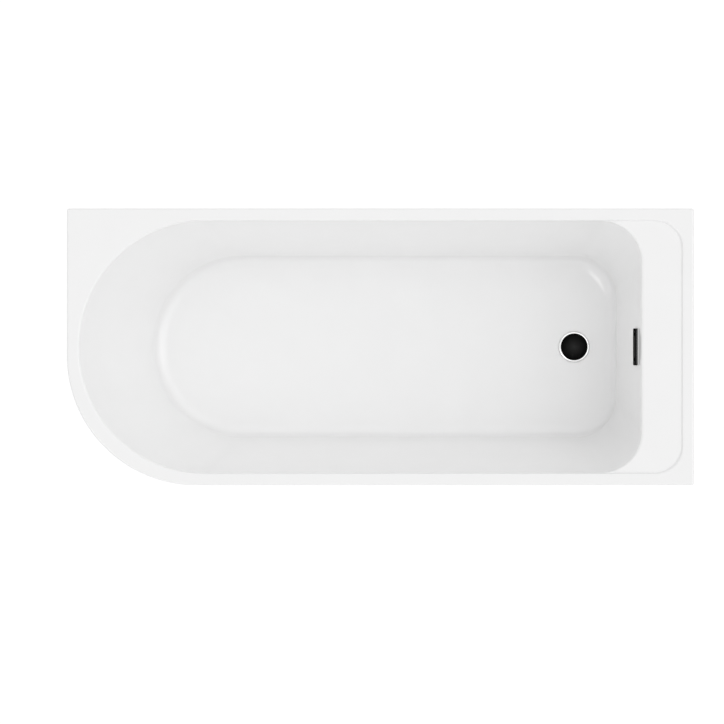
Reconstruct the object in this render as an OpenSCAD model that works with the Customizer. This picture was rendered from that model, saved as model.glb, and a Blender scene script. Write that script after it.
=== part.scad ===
// Acrylic shower bath with one rounded corner, a round head end and a tap shelf.
// Millimetres. X runs from the head end to the tap end, Y from the room side to
// the wall side, and Z up from the floor of the room. The origin is on that floor,
// under the middle of the bath.

/* [Overall size] */
// Length, from the head end to the tap end
bath_length = 1700; // [1500:10:1800]
// Width, from the room side to the wall side
bath_width = 750; // [700:10:850]
// Height of the rim above the floor of the room
rim_height = 580; // [560:5:620]
// Plan radius of the one rounded corner, on the room side of the head end
corner_radius = 350; // [250:10:360]

/* [Rim and tap shelf] */
// Width of the flat rim
rim_width = 32; // [30:1:40]
// Height of the turned-down outer edge
lip_height = 40; // [32:1:50]
// Radius of the rim's outer top edge
lip_radius = 5; // [3:0.5:8]
// Plan radius of the two square corners at the tap end
tap_corner_radius = 7; // [7:0.5:12]
// Radius of the edge where the rim turns into the basin
rim_roll = 4; // [3:0.5:8]
// Width of the tap shelf, from the rim to the basin
shelf_width = 110; // [90:1:130]
// Depth of the tap shelf below the rim
shelf_drop = 6; // [4:0.5:12]
// Plan radius of the tap shelf's two outer corners
shelf_corner = 75; // [40:5:100]
// Level width of the step from the rim down to the tap shelf
shelf_step = 6; // [4:0.5:12]
// Radius of the edge where the tap shelf turns into the basin
shelf_roll = 5; // [4:0.5:12]

/* [Basin] */
// Depth from the rim to the floor at the waste
basin_depth = 420; // [400:5:430]
// How much the floor falls from the head end to the waste
floor_fall = 8; // [3:1:12]
// Level run of the sloping head end
head_run = 212; // [160:2:224]
// Level run of each long side
side_run = 103; // [80:1:110]
// Level run of the tap end
tap_run = 74; // [60:1:90]
// Plan radius of the basin's two tap-end corners
basin_corner = 110; // [90:5:130]
// Height above the floor at which the walls start to curve into it
floor_curve = 22; // [16:2:50]
// Level width of that curve at the foot of a wall
floor_curve_width = 34; // [20:2:40]

/* [Shell] */
// Thickness of the acrylic
shell_t = 5; // [4:0.5:6]
// Thickness of the glass fibre backing
backing_t = 3; // [2:0.5:4]
// Distance from the rim down to the backing's top edge
backing_drop = 24; // [22:1:40]

/* [Boards and battens] */
// Thickness of the baseboard under the floor
board_t = 18; // [15:1:22]
// Distance from the flat of the floor to the baseboard's edge
board_inset = 14; // [8:1:30]
// Size of the baseboard's clipped head-end corners
board_clip = 120; // [100:5:130]
// Thickness of the board under the tap shelf
shelf_board_t = 15; // [12:1:18]
// Length of that board, from side to side
shelf_board_length = 430; // [300:10:440]
// Height of the timber rim battens
batten_height = 25; // [20:1:28]
// Width of the batten on the wall side
wall_batten_width = 16; // [12:1:17]
// Width of the batten behind the panel
room_batten_width = 12; // [9:1:12]

/* [Overflow] */
// Depth of the overflow's middle below the tap shelf
overflow_depth = 76; // [60:1:90]
// Width of the overflow plate
overflow_width = 100; // [94:1:130]
// Height of the overflow plate
overflow_height = 45; // [36:1:60]
// Thickness of the overflow plate
overflow_t = 5; // [3:0.5:7]
// Plan radius of the overflow plate's corners
overflow_corner = 5; // [3:0.5:9]
// Width of the overflow's slot
slot_width = 64; // [50:1:68]
// Height of the overflow's slot
slot_height = 13; // [10:0.5:16]
// How far the overflow's front seal shows around the plate
overflow_seal_edge = 1.5; // [1:0.5:3]
// Radius of the overflow screws' shanks
overflow_screw_r = 2; // [1.5:0.25:2.5]

/* [Waste] */
// Distance from the foot of the tap-end wall to the waste
waste_setback = 109; // [95:1:130]
// Radius of the plug cap
cap_r = 36.5; // [35.5:0.5:38]
// Height of the cap's dome above its edge
cap_dome = 4; // [2:0.5:6]
// Radius of the waste flange, whose edge shows round the cap
flange_r = 41; // [39:0.5:42]
// Radius of the thread on the waste's two threaded tubes
waste_thread_r = 23.9; // [22:0.1:25]
// Wall of the flange's threaded tube
waste_tube_wall = 3; // [2:0.25:4]
// Length of the waste's outlet thread
outlet_length = 22; // [16:1:26]
// Depth of the waste body's side inlet below the body's top
inlet_depth = 45; // [42:1:50]
// Travel of the click plug
plug_travel = 9; // [6:0.5:10]

/* [Overflow hose] */
// Radius of the hose's bore
hose_bore_r = 13; // [11:0.5:14]
// Wall of the hose between its ribs
hose_wall = 1.3; // [1:0.1:2]
// Height of the hose's ribs
hose_rib = 2.4; // [1.5:0.1:3]
// Number of ribs
hose_ribs = 84; // [40:1:100]
// Radius of the hose's bend
hose_bend_r = 90; // [70:5:100]

/* [Legs and feet] */
// Distance from the head end to the head-end leg bar
head_bar_inset = 420; // [400:5:450]
// Distance from the waste back to the tap-end leg bar
tap_bar_setback = 145; // [120:5:170]
// Distance from a long side to a side foot
foot_inset = 75; // [72:1:77]
// Sheet thickness of the leg bars
bar_t = 2; // [1.5:0.25:3]
// Width of a leg bar's top
bar_width = 36; // [32:1:50]
// Height of a leg bar
bar_height = 18; // [14:1:24]
// Width of each foot flange of a leg bar
bar_flange = 10; // [6:1:14]
// Radius of a foot's threaded rod
rod_r = 6; // [5:0.5:7]
// Width of a nut across its flats
nut_flats = 19; // [18:0.5:22]
// Height of an adjusting nut
nut_height = 10; // [6:0.5:12]
// Height of a lock nut
lock_nut_height = 6; // [4:0.5:6.5]
// Radius of a foot's pad
pad_r = 25; // [20:1:28]
// Height of a foot's pad
pad_height = 20; // [16:1:24]
// Height of a side foot's rod above its leg bar
rod_above_bar = 52; // [30:1:70]

/* [Panel and wall fixing] */
// Thickness of the apron panel
panel_t = 4; // [3:0.5:5]
// Gap under the apron panel
panel_gap = 15; // [12:1:25]
// Width of the panel's turned-in bottom edge
panel_return = 16; // [10:1:18]
// Thickness of the brackets' steel
bracket_t = 3; // [2:0.5:3]
// Width of a bracket
bracket_width = 40; // [30:1:60]
// Height of a wall bracket's leg
bracket_leg = 56; // [46:1:80]
// Distance between a wall bracket's two fixing holes
bracket_holes = 22; // [16:1:24]
// Radius of a wall bracket's fixing holes
bracket_hole_r = 2.75; // [2:0.25:3.5]
// Distance from an end of the bath to the nearer wall bracket on the long wall
bracket_inset = 430; // [250:10:600]

/* [Hidden] */

// Clearances: pieces that rest on each other, pieces that are held, running fits,
// and pieces that stand inside the tub's lip
seat_gap = 0.1;
fit_gap = 0.3;
run_gap = 0.05;
lip_gap = 0.7;
// A leaning wall's thickness, measured level, is this much more than its own
wall_lean = 1.05;
// How far a cutting shape reaches past the skins it cuts
cut = 20;

// Plan
half_l = bath_length / 2;
half_w = bath_width / 2;
head_centre_x = half_w - half_l;
rim_in_x = half_l - rim_width;
rim_in_y = half_w - rim_width;
tap_edge_x = rim_in_x - shelf_width;
tap_foot_x = tap_edge_x - tap_run;
head_foot_x = head_run - rim_in_x;
waste_x = tap_foot_x - waste_setback;

// Legs, feet and wall brackets
head_bar_x = head_bar_inset - half_l;
tap_bar_x = waste_x - tap_bar_setback;
centre_foot_x = (head_bar_x + tap_bar_x) / 2;
foot_y = half_w - foot_inset;
bracket_x = half_l - bracket_inset;

// Levels
shelf_z = rim_height - shelf_drop;
basin_z = rim_height - basin_depth;
floor_slope = floor_fall / (waste_x - head_foot_x);
tilt_start = shelf_drop + 3 * shelf_roll;
rim_under_z = rim_height - shell_t - seat_gap;
backing_z = basin_z - shell_t - seat_gap - backing_t;
board_top_z = backing_z - seat_gap;
board_z = board_top_z - board_t;
bar_top_z = board_z - seat_gap;
lower_seal_t = 3;
body_top_z = backing_z - 2 * seat_gap - lower_seal_t;
inlet_height = body_top_z - inlet_depth;

// Level distances from the basin's surface to the outer faces of its two skins
shell_off = shell_t * wall_lean;
skin_off = shell_off + seat_gap + backing_t * wall_lean;

// Counts of points around a ring, and of rings down each stretch of wall
head_steps = 40;
side_steps = 6;
corner_steps = 10;
tap_steps = 4;
roll_steps = 4;
wall_steps = 3;
curve_steps = 5;
lip_steps = 3;

function lerp(a, b, t) = a + (b - a) * t;
function smooth(t) = t * t * (3 - 2 * t);

// Stations around a ring, from the wall side round the head end, the room side
// and the tap end. Each is the stretch it lies on and how far along it is.
stretch_steps = [head_steps, side_steps, corner_steps, tap_steps, corner_steps, side_steps];
stations = [for (k = [0:5]) for (i = [0:stretch_steps[k] - 1]) [k, i / stretch_steps[k]]];

// How much a station belongs to the tap end: 0 on the sides, 1 on the end
function tap_share(s) =
    s[0] == 3 ? 1 : s[0] == 2 ? smooth(s[1]) : s[0] == 4 ? smooth(1 - s[1]) : 0;

// A point of an outline with a round head end and two corners at the tap end
function round_end_point(s, x0, x1, w, r) =
    s[0] == 0 ? [x0 + w + w * cos(90 + 180 * s[1]), w * sin(90 + 180 * s[1])] :
    s[0] == 1 ? [lerp(x0 + w, x1 - r, s[1]), -w] :
    s[0] == 2 ? [x1 - r + r * cos(270 + 90 * s[1]), r - w + r * sin(270 + 90 * s[1])] :
    s[0] == 3 ? [x1, lerp(r - w, w - r, s[1])] :
    s[0] == 4 ? [x1 - r + r * cos(90 * s[1]), w - r + r * sin(90 * s[1])] :
    [lerp(x1 - r, x0 + w, s[1]), w];

// Distance from the head end's centre to the outer outline along angle a
function outer_reach(a, inset) =
    let (w = half_w - inset,
         r = corner_radius - inset,
         q = [corner_radius - half_w, corner_radius - half_w],
         d = [cos(a), sin(a)],
         flat = w / max(abs(d[0]), abs(d[1])),
         across = q * d)
    flat * d[0] < q[0] && flat * d[1] < q[1] ? across + sqrt(across * across - q * q + r * r) : flat;

// A point of the outer outline, with its one rounded corner
function outer_point(s, inset) =
    let (w = half_w - inset, r = tap_corner_radius - inset, a = 90 + 180 * s[1])
    s[0] == 0 ? [head_centre_x, 0] + outer_reach(a, inset) * [cos(a), sin(a)] :
    round_end_point(s, inset - half_l, half_l - inset, w, r);

function outer_ring(inset, drop) =
    [for (s = stations) concat(outer_point(s, inset), rim_height - drop)];

// Height of a point of the basin at a given drop below the rim. The floor falls
// towards the waste, and the fall fades out up the walls. level is 0 to 1.
function basin_height(x, drop, level) =
    let (share = max(0, (drop - tilt_start) / (basin_depth - tilt_start)))
    rim_height - drop + floor_slope * (waste_x - x) * share * (1 - level);

// A ring of the basin. pull is how far it lies inside the wall's own line, and
// drop how far below the rim, each given for the sides and for the tap end.
function basin_ring(pull, drop, tap_pull, tap_drop, at_shelf = false, level = 0) =
    let (wall = drop / basin_depth,
         tap_wall = (tap_drop - shelf_drop) / (basin_depth - shelf_drop),
         x0 = pull + head_run * wall - rim_in_x,
         x1 = at_shelf ? rim_in_x - tap_pull : tap_edge_x - tap_run * tap_wall - tap_pull,
         w = rim_in_y - side_run * wall - pull,
         r = at_shelf ? shelf_corner : basin_corner)
    [for (s = stations)
        let (p = round_end_point(s, x0, x1, w, r))
        concat(p, basin_height(p[0], lerp(drop, tap_drop, tap_share(s)), level))];

// Rings down the wall and round into the floor, on a surface that lies off
// outside the basin's own, and under below its floor
function wall_rings(first_drop, off, under, level = 0) =
    let (last_drop = basin_depth - floor_curve)
    concat(
        [for (i = [0:wall_steps - 1])
            let (drop = lerp(first_drop, last_drop, i / wall_steps))
            basin_ring(-off, drop, -off, drop)],
        [for (i = [0:curve_steps])
            let (t = i / curve_steps,
                 pull = (floor_curve_width + off) * t * t - off,
                 drop = basin_depth + under - (floor_curve + under) * (1 - t) * (1 - t))
            basin_ring(pull, drop, pull, drop, level = level * smooth(t))]);

// The small drop of the sides beside the tap shelf, the angle through which the
// shelf's edge turns, and how far the shelf's underside runs past the wall's
side_step = 0.6;
shelf_turn = 80;
shelf_lap = 2;

// The tub's upper surface, from the lip's foot over the rim to the basin's floor
upper_rings = concat(
    [outer_ring(0, lip_height)],
    [for (i = [0:lip_steps])
        let (a = 90 * i / lip_steps)
        outer_ring(lip_radius * (1 - cos(a)), lip_radius * (1 - sin(a)))],
    [for (i = [0:roll_steps])
        let (t = i / roll_steps)
        basin_ring(-rim_roll * (1 - sin(90 * t)), shelf_drop * t * t,
            shelf_step * (t - 0.5), shelf_drop * smooth(t), at_shelf = true)],
    [for (i = [0:roll_steps - 1])
        let (a = shelf_turn * i / roll_steps, sink = shelf_roll * (1 - cos(a)))
        basin_ring(0, shelf_drop + side_step + sink, -shelf_roll * (1 - sin(a)), shelf_drop + sink)],
    wall_rings(shelf_drop + shelf_roll, 0, 0));

// The tub's under surface, from the floor up and out to the lip's foot
under_rings = concat(
    [outer_ring(shell_t, lip_height), outer_ring(shell_t, shell_t)],
    [basin_ring(-shell_off, shell_t, -shelf_step / 2 - shell_t / 4, shell_t, at_shelf = true),
     basin_ring(-shell_off, shelf_drop + shell_t,
        shelf_step / 2 - shell_t / 4, shelf_drop + shell_t, at_shelf = true),
     basin_ring(-shell_off, shelf_drop + shell_t + side_step,
        -shell_off - shelf_lap, shelf_drop + shell_t)],
    wall_rings(shelf_drop + shelf_roll + shell_t, shell_off, shell_t));

function reversed(list) = [for (i = [len(list) - 1:-1:0]) list[i]];
function flat_list(lists) = [for (l = lists) for (item = l) item];

// Middle of a ring of points
function middle(ring) = [for (i = [1:len(ring)]) 1] * ring / len(ring);

// Skin through rings of points. The rings run from the middle of the upper
// surface out and back to the middle of the under surface. Both ends are closed
// by a fan about their middle, or with joined the last ring meets the first.
module ring_skin(rings, joined = false) {
    n = len(rings[0]);
    m = len(rings);
    spans = joined ? m : m - 1;
    polyhedron(
        points = concat(flat_list(rings), [middle(rings[0]), middle(rings[m - 1])]),
        faces = concat(
            [for (i = [0:spans - 1]) for (j = [0:n - 1])
                let (a = i * n, b = (i + 1) % m * n, k = (j + 1) % n)
                each [[a + j, a + k, b + k], [a + j, b + k, b + j]]],
            joined ? [] : [for (j = [0:n - 1])
                let (k = (j + 1) % n, last = (m - 1) * n)
                each [[m * n, k, j], [m * n + 1, last + j, last + k]]]),
        convexity = 10);
}

// Plan outline of the bath, drawn in by inset, with its one rounded corner
module bath_plan(inset) {
    r = corner_radius - inset;
    corner = [inset - half_l, inset - half_w];
    difference() {
        translate(corner) square(-2 * corner);
        translate(corner) square(r);
    }
    translate([corner_radius - half_l, corner_radius - half_w]) circle(r = r);
}

// ---- Overflow ----

tap_tilt = atan(tap_run / (basin_depth - shelf_drop));
overflow_x = tap_edge_x - tap_run * overflow_depth / (basin_depth - shelf_drop);
overflow_z = shelf_z - overflow_depth;
front_seal_t = 1;
rear_seal_t = 2;
elbow_flange_t = 4;
elbow_wall = 2.5;
elbow_depth = 34;
elbow_width = slot_width + 10;
elbow_height = slot_height + 23;
elbow_corner = 8;
elbow_flange_width = overflow_width + 2;
elbow_flange_height = overflow_height + 6;
elbow_flange_corner = 6;
elbow_neck = 12;
overflow_screw_y = (slot_width + overflow_width) / 4;
// Distances square to the tap-end wall, from its basin side outwards
skin_back = skin_off * cos(tap_tilt);
rear_seal_x = skin_back + fit_gap;
elbow_flange_x = rear_seal_x + rear_seal_t + seat_gap;
elbow_box_x = elbow_flange_x + elbow_flange_t;
plate_face_x = -seat_gap - front_seal_t - seat_gap - overflow_t;
// The nose's tube round the slot, and the hole it passes through
nose_wall = 2;
nose_height = slot_height + 2 * nose_wall;
nose_width = slot_width + 2 * nose_wall;

// Places its children on the tap-end wall: X outwards through it, Z up along it
module on_tap_wall() {
    translate([overflow_x, 0, overflow_z]) rotate([0, tap_tilt, 0]) children();
}

module rounded_rectangle(width, height, r) {
    square([width - 2 * r, height], center = true);
    square([width, height - 2 * r], center = true);
    for (x = [-1, 1], y = [-1, 1])
        translate([x * (width / 2 - r), y * (height / 2 - r)]) circle(r = r);
}

// A slab that stands square to X, from x0, with its outline's width along Y
module slab_x(x0, thickness) {
    translate([x0, 0, 0]) rotate([90, 0, 90]) linear_extrude(thickness) children();
}

module slot_outline(grow = 0) {
    rounded_rectangle(slot_width + 2 * grow, slot_height + 2 * grow, slot_height / 2 + grow - 0.1);
}

module overflow_screw_holes(x0, length, r) {
    for (side = [-1, 1])
        translate([x0, side * overflow_screw_y, 0]) rotate([0, 90, 0]) cylinder(r = r, h = length);
}

// The hole through both skins of the tub for the overflow's nose and screws
module overflow_opening() {
    on_tap_wall() {
        slab_x(-cut, 2 * cut) slot_outline(nose_wall + fit_gap);
        overflow_screw_holes(-cut, 2 * cut, overflow_screw_r + fit_gap);
    }
}

screw_head_t = 2;
screw_head_r = 3.5;

module overflow_plate() {
    color("#161616") on_tap_wall() difference() {
        slab_x(plate_face_x, overflow_t)
            rounded_rectangle(overflow_width, overflow_height, overflow_corner);
        slab_x(plate_face_x - 1, overflow_t + 2) slot_outline();
        overflow_screw_holes(plate_face_x - 1, overflow_t + 2, overflow_screw_r + run_gap);
        overflow_screw_holes(plate_face_x - 1, 1 + screw_head_t, screw_head_r + fit_gap);
    }
}

module overflow_front_seal() {
    color("white") on_tap_wall() difference() {
        slab_x(-seat_gap - front_seal_t, front_seal_t)
            rounded_rectangle(overflow_width + 2 * overflow_seal_edge,
                overflow_height + 2 * overflow_seal_edge, overflow_corner + overflow_seal_edge);
        slab_x(-cut, 2 * cut) slot_outline(nose_wall + fit_gap);
        overflow_screw_holes(-cut, 2 * cut, overflow_screw_r + run_gap);
    }
}

module overflow_rear_seal() {
    color("#2a2a2a") on_tap_wall() difference() {
        slab_x(rear_seal_x, rear_seal_t)
            rounded_rectangle(elbow_flange_width, elbow_flange_height, elbow_flange_corner);
        slab_x(0, cut) slot_outline(nose_wall + fit_gap);
        overflow_screw_holes(0, cut, overflow_screw_r + run_gap);
    }
}

module overflow_screws() {
    screw_end = elbow_box_x - 0.5;
    color("#161616") on_tap_wall() {
        overflow_screw_holes(plate_face_x, screw_head_t, screw_head_r);
        overflow_screw_holes(plate_face_x, screw_end - plate_face_x, overflow_screw_r);
    }
}

// ---- Hose: down behind the tap-end wall and round to the waste ----

cuff_bore_r = (hose_bore_r + fit_gap) / cos(22.5);
hose_root_r = (hose_bore_r + fit_gap + hose_wall) / cos(22.5);
hose_crest_r = hose_root_r + hose_rib;
cuff_length = 2 * hose_root_r;
spigot_length = 30;
spigot_wall = 2.2;
collar_t = 4;
hose_x = overflow_x + (elbow_box_x + elbow_depth / 2) * cos(tap_tilt);
elbow_mid_z = overflow_z - (elbow_box_x + elbow_depth / 2) * sin(tap_tilt);
collar_z = elbow_mid_z - elbow_height / 2 - elbow_neck;
hose_top_z = collar_z - seat_gap;
body_r = 29;
inlet_collar_x = waste_x + body_r + 6;
hose_end_x = inlet_collar_x + collar_t + seat_gap;
bend_x = hose_x - hose_bend_r;
bend_z = inlet_height + hose_bend_r;
drop_length = hose_top_z - bend_z;
bend_length = hose_bend_r * PI / 2;
hose_length = drop_length + bend_length + bend_x - hose_end_x;

// Turn of the hose at a distance along it: 0 where it points down, 90 where it
// runs level towards the waste
function hose_turn(along) = 90 * min(1, max(0, (along - drop_length) / bend_length));

function hose_centre(along) =
    along <= drop_length ? [hose_x, 0, hose_top_z - along] :
    along >= drop_length + bend_length ? [bend_x - (along - drop_length - bend_length), 0, inlet_height] :
    let (a = hose_turn(along)) [bend_x + hose_bend_r * cos(a), 0, bend_z - hose_bend_r * sin(a)];

function hose_ring(along, r) =
    let (turn = hose_turn(along), c = hose_centre(along))
    [for (j = [0:7])
        let (a = 45 * j + 22.5)
        c + r * [cos(a) * cos(turn), sin(a), -cos(a) * sin(turn)]];

module overflow_hose() {
    ribbed = hose_length - 2 * cuff_length;
    pitch = ribbed / hose_ribs;
    bore_steps = 24;
    outside = concat(
        [hose_ring(0, hose_root_r), hose_ring(cuff_length, hose_root_r)],
        flat_list([for (i = [0:hose_ribs - 1])
            [hose_ring(cuff_length + (i + 0.5) * pitch, hose_crest_r),
             hose_ring(cuff_length + (i + 1) * pitch, hose_root_r)]]),
        [hose_ring(hose_length, hose_root_r)]);
    bore = concat(
        [hose_ring(hose_length, cuff_bore_r)],
        [for (i = [bore_steps:-1:0]) hose_ring(cuff_length + ribbed * i / bore_steps, cuff_bore_r)],
        [hose_ring(0, cuff_bore_r)]);
    color("#cfd2d4") ring_skin(concat(outside, bore), joined = true);
}

clip_width = 10;

// A hose clip round a cuff, standing along Z from z = 0: a band with two lugs
// that a screw and its nut draw together
module hose_clip() {
    inner = hose_root_r + fit_gap;
    band = 1.2;
    lug = 8;
    lug_half = 6;
    slit = 1.5;
    screw_r = 1.5;
    head_r = 3;
    head_t = 2;
    screw_x = inner + band + lug / 2;
    difference() {
        union() {
            cylinder(r = inner + band, h = clip_width);
            translate([inner, -lug_half, 0]) cube([lug + band, 2 * lug_half, clip_width]);
        }
        translate([0, 0, -1]) cylinder(r = inner, h = clip_width + 2);
        translate([0, -slit / 2, -1]) cube([inner + 2 * lug, slit, clip_width + 2]);
        translate([screw_x, lug_half + 1, clip_width / 2]) rotate([90, 0, 0])
            cylinder(r = screw_r + run_gap, h = 2 * lug_half + 2);
    }
    translate([screw_x, lug_half + seat_gap, clip_width / 2]) rotate([90, 0, 0]) {
        translate([0, 0, -head_t]) cylinder(r = head_r, h = head_t);
        cylinder(r = screw_r, h = 2 * (lug_half + seat_gap) + 1);
        translate([0, 0, 2 * (lug_half + seat_gap)]) cylinder(r = head_r, h = head_t, $fn = 6);
    }
}

module hose_clips() {
    clip_inset = 8;
    color("silver") {
        translate([hose_x, 0, hose_top_z - clip_inset - clip_width]) hose_clip();
        translate([hose_end_x + clip_inset, 0, inlet_height]) rotate([90, 0, 90]) hose_clip();
    }
}

// A hollow spigot with a collar for the hose to butt on, pointing along -Z from
// the collar's underside at z = 0, and reaching back up by root
module spigot(root) {
    cylinder(r = hose_root_r, h = collar_t);
    translate([0, 0, -spigot_length]) cylinder(r = hose_bore_r - fit_gap, h = spigot_length + 0.1);
    cylinder(r = hose_bore_r, h = root);
}

module spigot_bore(root) {
    translate([0, 0, -spigot_length - 1])
        cylinder(r = hose_bore_r - fit_gap - spigot_wall, h = spigot_length + 1 + root);
}

module overflow_elbow() {
    box_wall_y = elbow_width - 2 * elbow_wall;
    box_wall_z = elbow_height - 2 * elbow_wall;
    bore_root = elbow_mid_z - collar_z;
    color("#e8e8e4") difference() {
        union() {
            on_tap_wall() {
                slab_x(elbow_flange_x, elbow_flange_t)
                    rounded_rectangle(elbow_flange_width, elbow_flange_height, elbow_flange_corner);
                slab_x(0, elbow_flange_x + 1) slot_outline(nose_wall);
                slab_x(elbow_box_x - 1, elbow_depth + 1)
                    rounded_rectangle(elbow_width, elbow_height, elbow_corner);
            }
            translate([hose_x, 0, collar_z]) spigot(bore_root);
        }
        on_tap_wall() {
            slab_x(-1, elbow_box_x + 2) slot_outline();
            slab_x(elbow_box_x, elbow_depth - elbow_wall)
                rounded_rectangle(box_wall_y, box_wall_z, elbow_corner - elbow_wall);
            overflow_screw_holes(elbow_flange_x - 1, elbow_flange_t + 2, overflow_screw_r + run_gap);
        }
        translate([hose_x, 0, collar_z]) spigot_bore(bore_root);
    }
}

// ---- Tub ----

waste_hole_r = waste_thread_r + 2.1;
recess_r = flange_r + 1;
recess_drop = 2;
recess_z = basin_z - recess_drop;

module tub_shell() {
    color("#f1f1f1") difference() {
        ring_skin(concat(reversed(upper_rings), under_rings));
        translate([waste_x, 0, recess_z]) cylinder(r = recess_r, h = recess_drop + cut);
        translate([waste_x, 0, backing_z - cut]) cylinder(r = waste_hole_r, h = 3 * cut);
        overflow_opening();
    }
}

module glass_fibre_backing() {
    inner_off = shell_off + seat_gap;
    color("#c9c3ae") difference() {
        ring_skin(concat(
            reversed(wall_rings(backing_drop, inner_off, shell_t + seat_gap)),
            wall_rings(backing_drop, skin_off, shell_t + seat_gap + backing_t, level = 1)));
        translate([waste_x, 0, backing_z - cut]) cylinder(r = waste_hole_r + 1, h = 3 * cut);
        overflow_opening();
    }
}

// ---- Boards, battens, legs ----

floor_flat = floor_curve_width + board_inset;
board_x0 = head_foot_x + floor_flat;
board_x1 = tap_foot_x - floor_flat;
board_y = rim_in_y - side_run - floor_flat;
waste_notch_r = 50;
hose_notch = hose_crest_r + 8;
wood_screw_r = 2;
wood_screw_grip = 12;
wood_head_r = 4.5;
wood_head_t = 2.5;

// Screws that hold the leg bars and the centre plate up to the baseboard
bar_screw_edge = 22;
bar_screw_share = 0.35;
bar_screw_y = [for (s = [-1, -bar_screw_share, bar_screw_share, 1]) s * (board_y - bar_screw_edge)];
plate_length = 96;
plate_width = 70;
plate_screw_inset = 9;
plate_screw_x = plate_length / 2 - plate_screw_inset;
plate_screw_y = plate_width / 2 - plate_screw_inset;
plate_screw_places = [for (x = [-1, 1]) for (y = [-1, 1]) [x * plate_screw_x, y * plate_screw_y]];
leg_screw_places = concat(
    [for (x = [head_bar_x, tap_bar_x]) for (y = bar_screw_y) [x, y]],
    [for (p = plate_screw_places) p + [centre_foot_x, 0]]);
stay_lap = 46;
stay_screw_inset = 14;
stay_y = 60;
stay_x1 = board_x0 + stay_lap;
stay_screw_x = [board_x0 + stay_screw_inset, stay_x1 - stay_screw_inset];

module baseboard() {
    clip_y = board_y - board_clip;
    color("#b08a5a") translate([0, 0, board_z]) difference() {
        linear_extrude(board_t) polygon([
            [board_x0, -clip_y], [board_x0 + board_clip, -board_y], [board_x1, -board_y],
            [board_x1, board_y], [board_x0 + board_clip, board_y], [board_x0, clip_y]]);
        translate([waste_x, 0, -1]) cylinder(r = waste_notch_r, h = board_t + 2);
        translate([waste_x, -hose_notch, -1]) cube([board_x1, 2 * hose_notch, board_t + 2]);
        translate([centre_foot_x, 0, -1]) cylinder(r = rod_hole_r + 2, h = board_t + 2);
        for (p = leg_screw_places)
            translate([p[0], p[1], -1]) cylinder(r = wood_screw_r + run_gap, h = wood_screw_grip + 2);
        for (x = stay_screw_x)
            translate([x, stay_y, -1]) cylinder(r = wood_screw_r + run_gap, h = wood_screw_grip + 2);
    }
}

shelf_board_z = shelf_z - shell_t - seat_gap - shelf_board_t;
shelf_board_x0 = tap_edge_x + skin_off + 3;
shelf_board_x1 = rim_in_x - shelf_step;

module tap_shelf_board() {
    color("#b08a5a") difference() {
        translate([shelf_board_x0, -shelf_board_length / 2, shelf_board_z])
            cube([shelf_board_x1 - shelf_board_x0, shelf_board_length, shelf_board_t]);
        wall_bracket_places() bracket_seat_holes();
    }
}

batten_z = rim_under_z - batten_height;
batten_x1 = rim_in_x - 10;
lip_in = shell_t + lip_gap;
panel_in = lip_in + panel_t;

module wall_side_batten() {
    x0 = lip_in + 20 - half_l;
    color("#c8a26a") difference() {
        translate([x0, half_w - lip_in - wall_batten_width, batten_z])
            cube([batten_x1 - x0, wall_batten_width, batten_height]);
        wall_bracket_places() bracket_seat_holes();
    }
}

module room_side_batten() {
    x0 = head_centre_x;
    color("#c8a26a") translate([x0, panel_in + fit_gap - half_w, batten_z])
        cube([batten_x1 - x0, room_batten_width, batten_height]);
}

panel_in_y = panel_in - half_w;
bar_half = -panel_in_y - 26;
bolt_r = 2.5;
bolt_y = foot_y + 27;
nut_corner_r = nut_flats / 2 / cos(30);
panel_bracket_width = 30;
rod_hole_r = rod_r + fit_gap;

// A pressed steel bar of top-hat section, across the bath at x
module leg_bar(x) {
    w = bar_width / 2;
    f = w + bar_flange;
    h = bar_height;
    t = bar_t;
    color("#9aa0a4") translate([x, 0, bar_top_z]) difference() {
        rotate([90, 0, 0]) linear_extrude(2 * bar_half, center = true) polygon([
            [-w, 0], [w, 0], [w, t - h], [f, t - h], [f, -h], [w - t, -h],
            [w - t, -t], [t - w, -t], [t - w, -h], [-f, -h], [-f, t - h], [-w, t - h]]);
        for (side = [-1, 1])
            translate([0, side * foot_y, -t - 1]) cylinder(r = rod_hole_r, h = t + 2);
        for (y = bar_screw_y)
            translate([0, y, -t - 1]) cylinder(r = wood_screw_r + run_gap, h = t + 2);
        translate([0, -bolt_y, -t - 1]) cylinder(r = bolt_r + run_gap, h = t + 2);
    }
}

module leg_bar_head() leg_bar(head_bar_x);
module leg_bar_tap() leg_bar(tap_bar_x);

module centre_foot_plate() {
    color("#9aa0a4") translate([centre_foot_x, 0, bar_top_z - bar_t]) difference() {
        linear_extrude(bar_t) rounded_rectangle(plate_length, plate_width, 8);
        translate([0, 0, -1]) cylinder(r = rod_hole_r, h = bar_t + 2);
        for (p = plate_screw_places)
            translate([p[0], p[1], -1]) cylinder(r = wood_screw_r + run_gap, h = bar_t + 2);
    }
}

// A pan-headed wood screw pointing up, its head's top at z = 0
module wood_screw(through) {
    translate([0, 0, -wood_head_t]) cylinder(r = wood_head_r, h = wood_head_t);
    translate([0, 0, -1]) cylinder(r = wood_screw_r, h = 1 + through + wood_screw_grip);
}

module leg_screws() {
    color("silver") {
        for (p = leg_screw_places)
            translate([p[0], p[1], bar_top_z - bar_t - seat_gap]) wood_screw(bar_t);
        for (x = stay_screw_x)
            translate([x, stay_y, bar_top_z - bracket_t - seat_gap]) wood_screw(bracket_t);
    }
}

// ---- Feet ----

foot_places = [[head_bar_x, -foot_y], [head_bar_x, foot_y],
    [tap_bar_x, -foot_y], [tap_bar_x, foot_y], [centre_foot_x, 0]];
rod_seat_z = 8;

// The centre foot's rod stops in the baseboard, and can rise to the tub's floor
foot_rise = 8;
function rod_top(i) = i == 5 ? board_top_z - foot_rise - 1 : bar_top_z + rod_above_bar;

module at_foot(i) {
    translate([foot_places[i - 1][0], foot_places[i - 1][1], 0]) children();
}

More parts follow.
